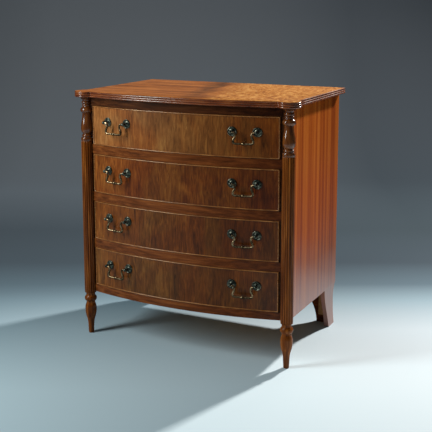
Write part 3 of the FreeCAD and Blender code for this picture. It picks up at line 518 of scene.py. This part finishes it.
# Lighter than the rails: partly painted highlight, standing in for the light that the beads catch.
BEAD_WOOD = wood("bead_mahogany", "X", ((114, 64, 28), (150, 92, 44), (180, 118, 64)),
                 bands=200, polish=0.0, gloss=(0.2, 0.28), shine=0.65)

VENEER_TONES = {
    1: ((94, 54, 24), (146, 92, 48), (176, 114, 64), (212, 150, 90)),
    2: ((70, 28, 4), (120, 62, 20), (150, 86, 34), (192, 122, 58)),
    3: ((66, 32, 6), (114, 66, 22), (144, 86, 34), (186, 124, 60)),
    4: ((68, 35, 8), (112, 67, 25), (140, 87, 37), (182, 122, 62)),
}
# From drawer to drawer the figure moves on across and up, as if cut elsewhere.
VENEER_STEP_ACROSS = 0.37
VENEER_STEP_UP = 0.9
VENEERS = {
    drawer: wood(f"drawer_veneer_{drawer}", "Z", VENEER_TONES[drawer],
                 bands=100, band_stretch=0.13, wander=2.0, mottle=0.36, mottle_scale=14, polish=0.4,
                 shine=0.05, coat=0.28,
                 shift=(VENEER_STEP_ACROSS * drawer, 0, VENEER_STEP_UP * drawer),
                 places=(0.32, 0.44, 0.53, 0.67), figure=veneer_figure)
    for drawer in DRAWERS
}

INNER_TONES = ((136, 92, 54), (162, 116, 72), (182, 138, 92))
DRAWER_WOOD = wood("drawer_wood", "Y", ((150, 112, 70), (176, 136, 90), (196, 158, 110)),
                   bands=110, band_stretch=0.03, pores=0.25, polish=0.0, gloss=(0.55, 0.7))
INNER_WOOD = wood("inner_wood", "Y", INNER_TONES,
                  bands=90, band_stretch=0.03, pores=0.25, polish=0.0, gloss=(0.6, 0.75))
CROSS_WOOD = wood("cross_wood", "X", INNER_TONES,
                  bands=90, band_stretch=0.03, pores=0.25, polish=0.0, gloss=(0.6, 0.75))
PLY = wood("back_ply", "X", ((142, 98, 60), (166, 120, 78), (186, 142, 98)),
           bands=26, band_stretch=0.12, mottle=0.2, polish=0.0, gloss=(0.62, 0.78))


# ------------------------------------------------------------------ metals

BRASS_PLACES = (0.36, 0.52, 0.7)
BRASS_ROUGHNESS = 0.26
BRASS_RELIEF = 0.12
BRASS_RELIEF_DEPTH = 0.1 * MM
STEEL_ROUGHNESS = 0.3


def brass(name, tones, under=1.0):
    """Old brass, clouded with patina. The underside can be given painted shade,
    darker, so that the brass is bright only on top, where the light falls."""
    material, tree = new_material(name)
    cloud = noise(tree, stretched(tree, "Z", 1), 140, detail=5, roughness=0.65)
    speck = noise(tree, stretched(tree, "Z", 1), 900, detail=3, roughness=0.6)
    colour = ramp(tree, cloud, [(place, rgb(*shade)) for place, shade in zip(BRASS_PLACES, tones)])
    if under < 1:
        facing_up = maths(tree, "ADD", maths(tree, "MULTIPLY", axes(tree, "Normal")["Z"], 0.5), 0.5)
        colour = shaded(tree, colour, ramp(tree, facing_up, [(0.3, under), (0.6, 1.0)]))
    roughness = ramp(tree, speck, [(0.3, BRASS_ROUGHNESS), (0.7, BRASS_ROUGHNESS + 0.16)])
    shader = surface(tree, colour, roughness)
    relief(tree, shader, speck, BRASS_RELIEF, BRASS_RELIEF_DEPTH)
    shader.inputs["Metallic"].default_value = 1.0
    return material


def steel(name, colour):
    """Plain metal with faint clouds."""
    material, tree = new_material(name)
    cloud = noise(tree, stretched(tree, "Z", 1), 300)
    darker = tuple(0.8 * part for part in colour[:3]) + (1,)
    shade = ramp(tree, cloud, [(0.3, darker), (0.7, colour)])
    roughness = ramp(tree, cloud, [(0.3, STEEL_ROUGHNESS), (0.7, STEEL_ROUGHNESS + 0.12)])
    shader = surface(tree, shade, roughness)
    shader.inputs["Metallic"].default_value = 1.0
    return material


# Painted shade: the bails' undersides are darkened, standing in for the shade under them.
BAIL_BRASS = brass("rubbed_brass", ((60, 48, 34), (150, 124, 90), (236, 200, 156)), under=0.08)
ROSE_BRASS = brass("patinated_brass", ((36, 40, 36), (80, 82, 72), (158, 154, 134)))
STEEL = steel("screw_steel", rgb(150, 148, 142))


# ------------------------------------------------------------ board pieces

def refined(node, material, body="carcase", ease=BOARD_EASE):
    """Copy of a CAD node's mesh with whole flat faces, eased edges and smooth
    curves. It stands for the node."""
    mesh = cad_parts[node].data.copy()
    mesh.name = node + "_fine"
    work = bmesh.new()
    work.from_mesh(mesh)
    bmesh.ops.remove_doubles(work, verts=work.verts, dist=MERGE_DISTANCE)
    bmesh.ops.dissolve_limit(work, angle_limit=math.radians(FLAT_ANGLE), verts=work.verts, edges=work.edges)
    work.to_mesh(mesh)
    work.free()
    smooth_shading(mesh, BOARD_SHARP)
    piece = placed(node + "_fine", mesh)
    material_of(piece, material)
    if ease:
        bevel = piece.modifiers.new("ease", "BEVEL")
        bevel.width = ease
        bevel.segments = EASE_SEGMENTS
        bevel.limit_method = "ANGLE"
        bevel.angle_limit = math.radians(EASED_ANGLE)
        weights = piece.modifiers.new("flat_faces", "WEIGHTED_NORMAL")
        weights.keep_sharp = True
    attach(piece, body)
    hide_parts(node)


def top_ring(inset, height):
    """Plan of the top at a distance inside its outermost edge: from the middle
    of the back round the right side, the turret and the bow, and mirrored."""
    side = TOP_HALF - inset
    turret = TURRET_RADIUS - inset
    bow = TOP_BOW - inset
    post = Vector((POST_X, POST_Y))
    away = Vector((0, BOW_CENTRE)) - post
    apart = away.length
    along = (turret ** 2 - bow ** 2 + apart ** 2) / (2 * apart)
    across = math.sqrt(turret ** 2 - along ** 2)
    away.normalize()
    meeting = post + away * along - Vector((away.y, -away.x)) * across
    side_angle = math.acos((side - POST_X) / turret)
    bow_angle = math.atan2(meeting.y - POST_Y, meeting.x - POST_X)
    half = [Vector((0.0, top_high.y)), Vector((side * 0.5, top_high.y)), Vector((side, top_high.y))]
    leave = POST_Y + turret * math.sin(side_angle)
    for step in range(1, TOP_SIDE_STEPS):
        half.append(Vector((side, top_high.y + (leave - top_high.y) * step / TOP_SIDE_STEPS)))
    for step in range(TURRET_STEPS + 1):
        angle = side_angle + (bow_angle - side_angle) * step / TURRET_STEPS
        half.append(Vector((POST_X + turret * math.cos(angle), POST_Y + turret * math.sin(angle))))
    for step in range(1, TOP_BOW_STEPS):
        x = meeting.x * (1 - step / TOP_BOW_STEPS)
        half.append(Vector((x, bow_y(bow, x))))
    half.append(Vector((0.0, bow_y(bow, 0.0))))
    mirrored = [Vector((-spot.x, spot.y)) for spot in half[-2:0:-1]]
    return [Vector((spot.x, spot.y, height)) for spot in half + mirrored]


def top_board():
    """Top with a triple-reeded edge round its sides, turrets and bow."""
    reed = TOP_THICKNESS / EDGE_REEDS / 2
    fullness = 0.98
    face_inset = 1.1 * reed
    profile = [(face_inset, 0.0)]
    for level in range(EDGE_REEDS):
        middle = reed * (2 * level + 1)
        for step in range(EDGE_STEPS + 1):
            angle = math.pi * (step / EDGE_STEPS - 0.5)
            inset = reed * (1 - fullness * math.cos(angle))
            profile.append((inset, middle + fullness * reed * math.sin(angle)))
    profile.append((face_inset, TOP_THICKNESS))
    shell = ringed([top_ring(inset, top_low.z + height) for inset, height in profile])
    piece = new_piece("top_board_fine", shell, "carcase", ["top_board"])
    material_of(piece, TOP_WOOD, EDGE_WOOD)
    # Only the level upper face is veneered.
    upper = top_high.z - 0.2 * MM
    for face in piece.data.polygons:
        face.material_index = 0 if face.center.z > upper and face.normal.z > 0.9 else 1


# ------------------------------------------------------------ corner posts

# Rows as turning_profile reads them: share of radius, share of height and, for
# a round side, hand and bend.
FOOT_TURNING = [
    (0.0, 0.0),
    (0.40, 0.0),
    (0.44, 0.004),
    (0.46, 0.014),
    (0.52, 0.20, -1, 3.6),
    (0.73, 0.38, 1, 2.6),
    (0.965, 0.57, 1, 1.9),
    (0.75, 0.735),
    (0.75, 0.775),
    (0.80, 0.78, 1, 0.62),
    (0.80, 0.91),
    (0.77, 0.925),
    (0.77, 0.955, -1, 0.8),
    (0.97, 0.99),
    (0.97, 1.0),
    (0.83, 1.0),
    (0.83, 1.02),
]
VASE_TURNING = [
    (0.80, -0.004),
    (0.95, 0.0),
    (1.0, 0.012),
    (1.0, 0.065),
    (0.96, 0.075),
    (0.76, 0.08),
    (0.76, 0.095, 1, 0.56),
    (0.76, 0.14),
    (0.67, 0.16, 1, 1.33),
    (1.0, 0.27, 1, 5.5),
    (0.89, 0.435, -1, 8),
    (0.72, 0.61),
    (0.72, 0.635, 1, 0.54),
    (0.72, 0.762),
    (0.64, 0.785, 1, 0.56),
    (0.64, 0.83),
    (0.67, 0.84, 1, 0.56),
    (0.67, 0.9, -1, 0.75),
    (0.93, 0.955),
    (0.93, 1.0),
]
TIP_SHARES = (0, 0.12, 0.3, 0.55, 1)


def reeded_radius(angle):
    """Radius of the reeded shaft in a direction, the reeds side by side."""
    pitch = FULL_TURN / SHAFT_REEDS
    lean = (angle % pitch) - pitch / 2
    return CORE_RADIUS * math.cos(lean) + math.sqrt(REED_RADIUS ** 2 - (CORE_RADIUS * math.sin(lean)) ** 2)


def reeded_shaft(first, sweep):
    """Shaft whose reeds are rounded off at both ends."""
    steps = round(SHAFT_REEDS * sweep / FULL_TURN) * REED_STEPS
    heights = [SHAFT_FOOT + REED_TIP * share for share in TIP_SHARES]
    heights += [SHAFT_FOOT + (SHAFT_TOP - SHAFT_FOOT) * share for share in (0.25, 0.5, 0.75)]
    heights += [SHAFT_TOP - REED_TIP * share for share in reversed(TIP_SHARES)]
    rings = []
    for height in heights:
        near = min(height - SHAFT_FOOT, SHAFT_TOP - height, REED_TIP) / REED_TIP
        swell = math.sqrt(1 - (1 - near) ** 2)
        ring = []
        for step in range(steps + 1):
            angle = first + sweep * step / steps
            ring.append(about_z(CORE_RADIUS + (reeded_radius(angle) - CORE_RADIUS) * swell, angle, height))
        rings.append(ring + [Vector((0, 0, height))])
    return ringed(rings)


def corner_posts():
    """Turned foot, reeded shaft and turned vase. Above the foot they are three
    quarters round, with the open quarter where they wrap the carcase."""
    sweep = 0.75 * FULL_TURN
    for side, hand in SIDES.items():
        first = math.pi if hand > 0 else math.pi / 2
        foot = turned(turning_profile(FOOT_TURNING, 0.0, SHAFT_FOOT, POST_RADIUS), FOOT_STEPS)
        shaft = reeded_shaft(first, sweep)
        vase_profile = turning_profile(VASE_TURNING, SHAFT_TOP, CARCASE_TOP - SHAFT_TOP, POST_RADIUS)
        vase = turned(vase_profile, VASE_STEPS, first, sweep)
        shell = moved(joined([foot, shaft, vase]), Matrix.Translation((hand * POST_X, POST_Y, 0)))
        piece = new_piece(f"corner_post_{side}_fine", shell, "carcase",
                          [f"corner_post_{side}"], POST_SHARP)
        material_of(piece, VASE_WOOD, SHAFT_WOOD)
        for face in piece.data.polygons[:len(foot[1]) + len(shaft[1])]:
            face.material_index = 1


# ----------------------------------------------------------------- drawers

def cock_beads(drawer):
    """Bead with a rounded nose round a drawer front, mitred at its corners."""
    body = f"drawer_{drawer}"
    node = f"{body}_cock_beads"
    low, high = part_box(node)
    nose = BEAD_WIDTH / 2
    profile = [(0.0, -BEAD_SEAT)]
    for step in range(NOSE_STEPS + 1):
        angle = math.pi * step / NOSE_STEPS
        profile.append((nose * (1 - math.cos(angle)), BEAD_NOSE - nose * (1 - math.sin(angle))))
    profile.append((BEAD_WIDTH, -BEAD_SEAT))
    rings = []
    for z, way in ((low.z, 1), (high.z, -1)):
        for step in range(BEAD_STEPS + 1):
            x = way * (2 * high.x * step / BEAD_STEPS - high.x)
            mitre = way * ((step == 0) - (step == BEAD_STEPS))
            ring = []
            for inset, reach in profile:
                spot = x + mitre * inset
                ring.append(Vector((spot, bow_y(BOW_RADIUS + reach, spot), z + way * inset)))
            rings.append(ring)
    piece = new_piece(node + "_fine", ringed(rings, loop=True), body, [node])
    material_of(piece, BEAD_WOOD)


def veneer_sheet(drawer):
    """Smooth face veneer between the cock beads, laid on the drawer front."""
    low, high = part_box(f"drawer_{drawer}_front")
    half = high.x - BEAD_WIDTH
    foot, head = low.z + BEAD_WIDTH, high.z - BEAD_WIDTH
    outer, inner = BOW_RADIUS + VENEER, BOW_RADIUS - VENEER
    rings = []
    for step in range(VENEER_STEPS + 1):
        x = -half + 2 * half * step / VENEER_STEPS
        rings.append([Vector((x, bow_y(radius, x), height))
                      for radius, height in ((outer, foot), (outer, head), (inner, head), (inner, foot))])
    piece = new_piece(f"drawer_{drawer}_veneer", ringed(rings), f"drawer_{drawer}")
    material_of(piece, VENEERS[drawer])


def drawer_case(drawer):
    """Front, sides, back and bottom of a drawer with their own woods."""
    body = f"drawer_{drawer}"
    material_of(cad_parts[f"{body}_front"], DRAWER_WOOD)
    veneer_sheet(drawer)
    for side in SIDES:
        refined(f"{body}_side_{side}", DRAWER_WOOD, body, CASE_EASE)
    refined(f"{body}_back", CROSS_WOOD, body, CASE_EASE)
    refined(f"{body}_bottom", PLY, body, 0)


# ------------------------------------------------------------------- pulls

# Shares of the rose's radius and thickness, of the head's radius and the way
# from the rose to the pivot, and of the nut's radius and thickness.
ROSE_PROFILE = [
    (0.0, 0.0), (1.0, 0.0), (1.0, 0.24), (0.985, 0.42), (0.955, 0.58), (0.915, 0.68), (0.87, 0.70),
    (0.83, 0.62), (0.80, 0.48), (0.78, 0.42), (0.74, 0.36), (0.66, 0.34), (0.56, 0.38), (0.47, 0.50),
    (0.42, 0.66), (0.39, 0.84), (0.34, 0.96), (0.27, 1.0), (0.0, 1.0),
]
STEM_PROFILE = [
    (0.0, 0.0), (0.72, 0.0), (0.76, 0.04), (0.76, 0.08), (0.70, 0.12), (0.56, 0.15), (0.50, 0.22),
    (0.48, 0.34), (0.50, 0.44), (0.58, 0.48), (0.60, 0.51), (0.56, 0.54),
]
NUT_PROFILE = [(0.86, 0.0), (1.0, 0.14), (1.0, 0.86), (0.86, 1.0)]
# The ball head starts where its sine passes the neck and ends short of its pole.
BALL_NECK = -0.86
BALL_SPAN = 0.995
# Right half of a bail in millimetres: (across, up, radius) from its pin to its
# bar, and (across, radius) for the turned bead in the bar's middle.
BAIL_LINE = [
    (38.0, 0.0, 1.5), (34.4, 0.0, 1.5), (33.9, 0.0, 3.0), (32.4, -0.1, 3.3), (31.0, -0.3, 3.0),
    (28.4, -1.2, 3.0), (26.0, -4.2, 3.1), (25.2, -9.0, 3.2), (26.2, -14.4, 3.3), (29.0, -19.4, 3.5),
    (30.7, -24.0, 3.5), (30.7, -28.1, 3.5), (28.6, -31.6, 3.4), (25.0, -33.1, 3.3), (20.0, -33.5, 3.2),
    (12.0, -33.5, 2.9), (7.2, -33.5, 2.7),
]
BEAD_LINE = [
    (6.8, 2.6), (6.3, 3.5), (5.6, 3.8), (5.0, 3.4), (4.7, 2.9), (4.2, 3.1), (3.3, 3.8), (2.0, 4.3),
    (0.0, 4.5),
]
DEPTH_WAY = Vector((0, 1, 0))


def on_bow(radius, lean, height):
    """Place on the bow that faces straight out of it: own -Y is outward."""
    spot = Vector((radius * math.sin(lean), BOW_CENTRE - radius * math.cos(lean), height))
    return Matrix.Translation(spot) @ Matrix.Rotation(lean, 4, "Z")


def facing_out(place):
    """Turned pieces are made about +Z; this lays that axis along the way out."""
    return place @ Matrix.Rotation(math.pi / 2, 4, "X")


def pull_lean(hand):
    """Angle on the bow of the middle of a pull."""
    return hand * math.asin(PULL_OFFSET / BOW_RADIUS)


def stem_profile():
    """Collar, waist and ball head of a pull post, from the rose outwards."""
    span = PIVOT_STANDOFF - ROSE_THICKNESS
    profile = [(share * HEAD_RADIUS, ROSE_THICKNESS + reach * span) for share, reach in STEM_PROFILE]
    for step in range(1, BALL_STEPS + 1):
        angle = math.pi * (step / BALL_STEPS - 0.5) * BALL_SPAN
        if math.sin(angle) > BALL_NECK:
            profile.append((HEAD_RADIUS * math.cos(angle), PIVOT_STANDOFF + HEAD_RADIUS * math.sin(angle)))
    return profile


def post_shells():
    """Stem, shank through the drawer front, and six-sided nut of a pull post."""
    shank_end = -FRONT_THICKNESS - NUT_THICKNESS - SHANK_END
    shank = [(0.0, shank_end), (SHANK_RADIUS, shank_end), (SHANK_RADIUS, ROSE_THICKNESS)]
    nut = [(share * NUT_RADIUS, -FRONT_THICKNESS - reach * NUT_THICKNESS) for share, reach in NUT_PROFILE]
    return [turned(stem_profile(), STEM_STEPS), turned(shank, SHANK_STEPS), turned(nut, NUT_SIDES)]


def bail_shell():
    """Swan-neck bail as rings along its line, with a turned bead in its bar."""
    half = [(u * MM, w * MM, r * MM) for u, w, r in curve_through(BAIL_LINE, BAIL_CURVE_STEPS)]
    half += [(u * MM, -BAIL_DROP, r * MM) for u, r in BEAD_LINE]
    line = half + [(-u, w, r) for u, w, r in reversed(half[:-1])]
    rings = []
    for index, (u, w, radius) in enumerate(line):
        before, after = line[max(index - 1, 0)], line[min(index + 1, len(line) - 1)]
        way = Vector((after[0] - before[0], 0, after[1] - before[1])).normalized()
        side = Vector((way.z, 0, -way.x))
        ring = []
        for step in range(BAIL_STEPS):
            angle = FULL_TURN * step / BAIL_STEPS
            offset = side * math.cos(angle) + DEPTH_WAY * math.sin(angle)
            ring.append(Vector((u, 0, w)) + offset * radius)
        rings.append(ring)
    return ringed(rings)


def pulls(drawer):
    """Roses, posts and bails of a drawer's two pulls."""
    body = f"drawer_{drawer}"
    low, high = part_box(f"{body}_front")
    height = (low.z + high.z) / 2 + PULL_RISE
    half = math.asin(PULL_HALF / BOW_RADIUS)
    rose_profile = [(share * ROSE_RADIUS, reach * ROSE_THICKNESS) for share, reach in ROSE_PROFILE]
    rose = turned(rose_profile, ROSE_STEPS)
    roses, posts = [], []
    for hand in SIDES.values():
        for end in (-1, 1):
            place = facing_out(on_bow(BOW_RADIUS, pull_lean(hand) + end * half, height))
            roses.append(moved(rose, place))
            posts += [moved(shell, place) for shell in post_shells()]
    for name, shells in ((f"{body}_pull_roses", roses), (f"{body}_pull_posts", posts)):
        piece = new_piece(name + "_fine", joined(shells), body, [name])
        material_of(piece, ROSE_BRASS)
    pivot = (BOW_RADIUS + PIVOT_STANDOFF) * math.cos(half)
    for side, hand in SIDES.items():
        name = f"{body}_bail_{side}"
        shell = moved(bail_shell(), on_bow(pivot, pull_lean(hand), height))
        piece = new_piece(name + "_fine", shell, name, [name])
        material_of(piece, BAIL_BRASS)


# ----------------------------------------------------------------- carcase

RAILS = ("drawer_rail_upper", "drawer_rail_middle", "drawer_rail_lower", "bottom_rail")
# Parts inside, each with the wood whose grain runs along it.
INNER_PARTS = (
    ("drawer_runners", INNER_WOOD),
    ("top_kickers", INNER_WOOD),
    ("drawer_stops", CROSS_WOOD),
    ("back_rails", CROSS_WOOD),
    ("glue_blocks", INNER_WOOD),
)


def carcase():
    """Sides, stiles, rails, back and the parts inside, with their own woods."""
    for side in SIDES:
        refined(f"side_panel_{side}", SIDE_WOOD)
        refined(f"rear_foot_bracket_{side}", RAIL_WOOD)
    refined("corner_stiles", UPRIGHT_PAINTED_SHADE_WOOD)
    refined("top_rail", TOP_RAIL_PAINTED_SHADE_WOOD)
    for rail in RAILS:
        refined(rail, RAIL_WOOD)
    for name, material in INNER_PARTS:
        refined(name, material)
    refined("back_panel", PLY, ease=0)
    material_of(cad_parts["top_screws"], STEEL)


# --------------------------------------------------------- stage and camera

CAMERA_TURN = math.radians(25.88)
CAMERA_TILT = math.radians(9.39)
CAMERA_AIM = Vector((113.8 * MM, POST_Y, 651.8 * MM))
CAMERA_DISTANCE = 2819.0 * MM
SENSOR_MM = 36
FOCAL_PIXELS = 931.4
IMAGE_PIXELS = 432
AXIS_ROW_PIXELS = 150
CLIP_NEAR = 0.05
CLIP_FAR = 60

FLOOR_HALF = 9.0
FLOOR_FRONT = -7.0
BACKDROP_Y = 4.2
BACKDROP_HEIGHT = 6.0
BACKDROP_BEND = 1.6
FLOOR_ROUGHNESS = 0.7
FLOOR_SHINE = 0.15

LIGHT_AIM = Vector((0, 0, 0.42))
WORLD_STRENGTH = 0.12


def direction(turn, tilt):
    """Way from the object to something seen at a turn from its front and a tilt up."""
    return Vector((math.sin(turn) * math.cos(tilt), -math.cos(turn) * math.cos(tilt), math.sin(tilt)))


def floor_paint():
    """Pale near the object and falling to slate behind it, later and deeper on
    the right than on the left: partly a slate backdrop, partly painted light,
    a pool of it near the object, and painted shade on the left that deepens
    the object's shadow."""
    paint, tree = new_material("floor_paint")
    place = axes(tree)
    # The ramps run from 1 m in front of the object's middle to 4 m behind it.
    away = maths(tree, "MULTIPLY", maths(tree, "ADD", place["Y"], 1.0), 0.2)
    right = ramp(tree, away, [(0.12, rgb(230, 240, 243)), (0.2, rgb(218, 231, 237)),
                              (0.26, rgb(154, 178, 189)), (0.3, rgb(90, 110, 121)),
                              (0.36, rgb(56, 69, 78)), (0.47, rgb(48, 59, 65)),
                              (0.7, rgb(50, 58, 64)), (1.0, rgb(64, 70, 76))])
    # Painted shade: the left ramp is darker, where the key lamp lights the floor less.
    left = ramp(tree, away, [(0.1, rgb(182, 202, 208)), (0.2, rgb(126, 148, 156)),
                             (0.28, rgb(87, 103, 111)), (0.36, rgb(70, 80, 87)),
                             (0.47, rgb(70, 79, 86)), (0.65, rgb(98, 107, 114)),
                             (1.0, rgb(110, 115, 120))])
    # The left one passes into the right one from 1.2 m left to 1 m right of it.
    across = maths(tree, "MULTIPLY", maths(tree, "ADD", place["X"], 1.2), 0.45, clamp=True)
    shader = tree.nodes["Principled BSDF"]
    tree.links.new(blend_colour(tree, "MIX", across, left, right), shader.inputs["Base Color"])
    shader.inputs["Roughness"].default_value = FLOOR_ROUGHNESS
    shader.inputs["Specular IOR Level"].default_value = FLOOR_SHINE
    return paint


def floor():
    """Floor that curves up to a backdrop, square behind the object as the camera sees it."""
    bend_start = BACKDROP_Y - BACKDROP_BEND
    line = [(FLOOR_FRONT, 0.0), (bend_start, 0.0)]
    for step in range(1, BACKDROP_STEPS + 1):
        angle = math.pi / 2 * step / BACKDROP_STEPS
        line.append((bend_start + BACKDROP_BEND * math.sin(angle), BACKDROP_BEND * (1 - math.cos(angle))))
    line.append((BACKDROP_Y, BACKDROP_HEIGHT))
    points = [(x, y, z) for y, z in line for x in (-FLOOR_HALF, FLOOR_HALF)]
    faces = [(2 * i, 2 * i + 1, 2 * i + 3, 2 * i + 2) for i in range(len(line) - 1)]
    mesh = bpy.data.meshes.new("floor")
    mesh.from_pydata(points, [], faces)
    mesh.polygons.foreach_set("use_smooth", [True] * len(faces))
    piece = placed("floor", mesh)
    piece.data.materials.append(floor_paint())
    piece.rotation_euler = (0, 0, CAMERA_TURN)


def area_light(name, turn, tilt, distance, size, watts, colour):
    """Lamp that aims at the object from a turn and a tilt in degrees."""
    lamp = bpy.data.lights.new(name, "AREA")
    lamp.shape = "RECTANGLE"
    lamp.size, lamp.size_y = size
    lamp.energy = watts
    lamp.color = colour
    item = placed(name, lamp)
    way = direction(math.radians(turn), math.radians(tilt))
    item.location = LIGHT_AIM + way * distance
    item.rotation_mode = "QUATERNION"
    item.rotation_quaternion = way.to_track_quat("Z", "Y")


def lights():
    """Warm key from behind on the right, cool softbox in front on the left, and a dim world."""
    area_light("key", turn=157, tilt=36, distance=4.0, size=(0.25, 0.25), watts=245, colour=(1.0, 0.97, 0.94))
    area_light("left_softbox", turn=-40, tilt=30, distance=2.2, size=(0.5, 1.5), watts=38,
               colour=(0.88, 0.98, 1.0))
    world = bpy.data.worlds.new("studio")
    bpy.context.scene.world = world
    world.use_nodes = True
    background = world.node_tree.nodes["Background"]
    background.inputs["Color"].default_value = rgb(150, 185, 205)
    background.inputs["Strength"].default_value = WORLD_STRENGTH


def camera():
    """Camera at the photograph's angle. The shift puts its axis at the row that
    the photograph's perspective is centred on, above the middle of the frame."""
    data = bpy.data.cameras.new("camera")
    item = placed("camera", data)
    back = direction(CAMERA_TURN, CAMERA_TILT)
    item.location = CAMERA_AIM + back * CAMERA_DISTANCE
    item.rotation_mode = "QUATERNION"
    item.rotation_quaternion = (-back).to_track_quat("-Z", "Y")
    data.sensor_width = SENSOR_MM
    data.lens = FOCAL_PIXELS / IMAGE_PIXELS * SENSOR_MM
    data.shift_y = -(IMAGE_PIXELS / 2 - AXIS_ROW_PIXELS) / IMAGE_PIXELS
    data.clip_start, data.clip_end = CLIP_NEAR, CLIP_FAR
    bpy.context.scene.camera = item


top_board()
corner_posts()
carcase()
for number in DRAWERS:
    drawer_case(number)
    cock_beads(number)
    pulls(number)
floor()
lights()
camera()
bpy.context.scene.view_settings.view_transform = "Standard"
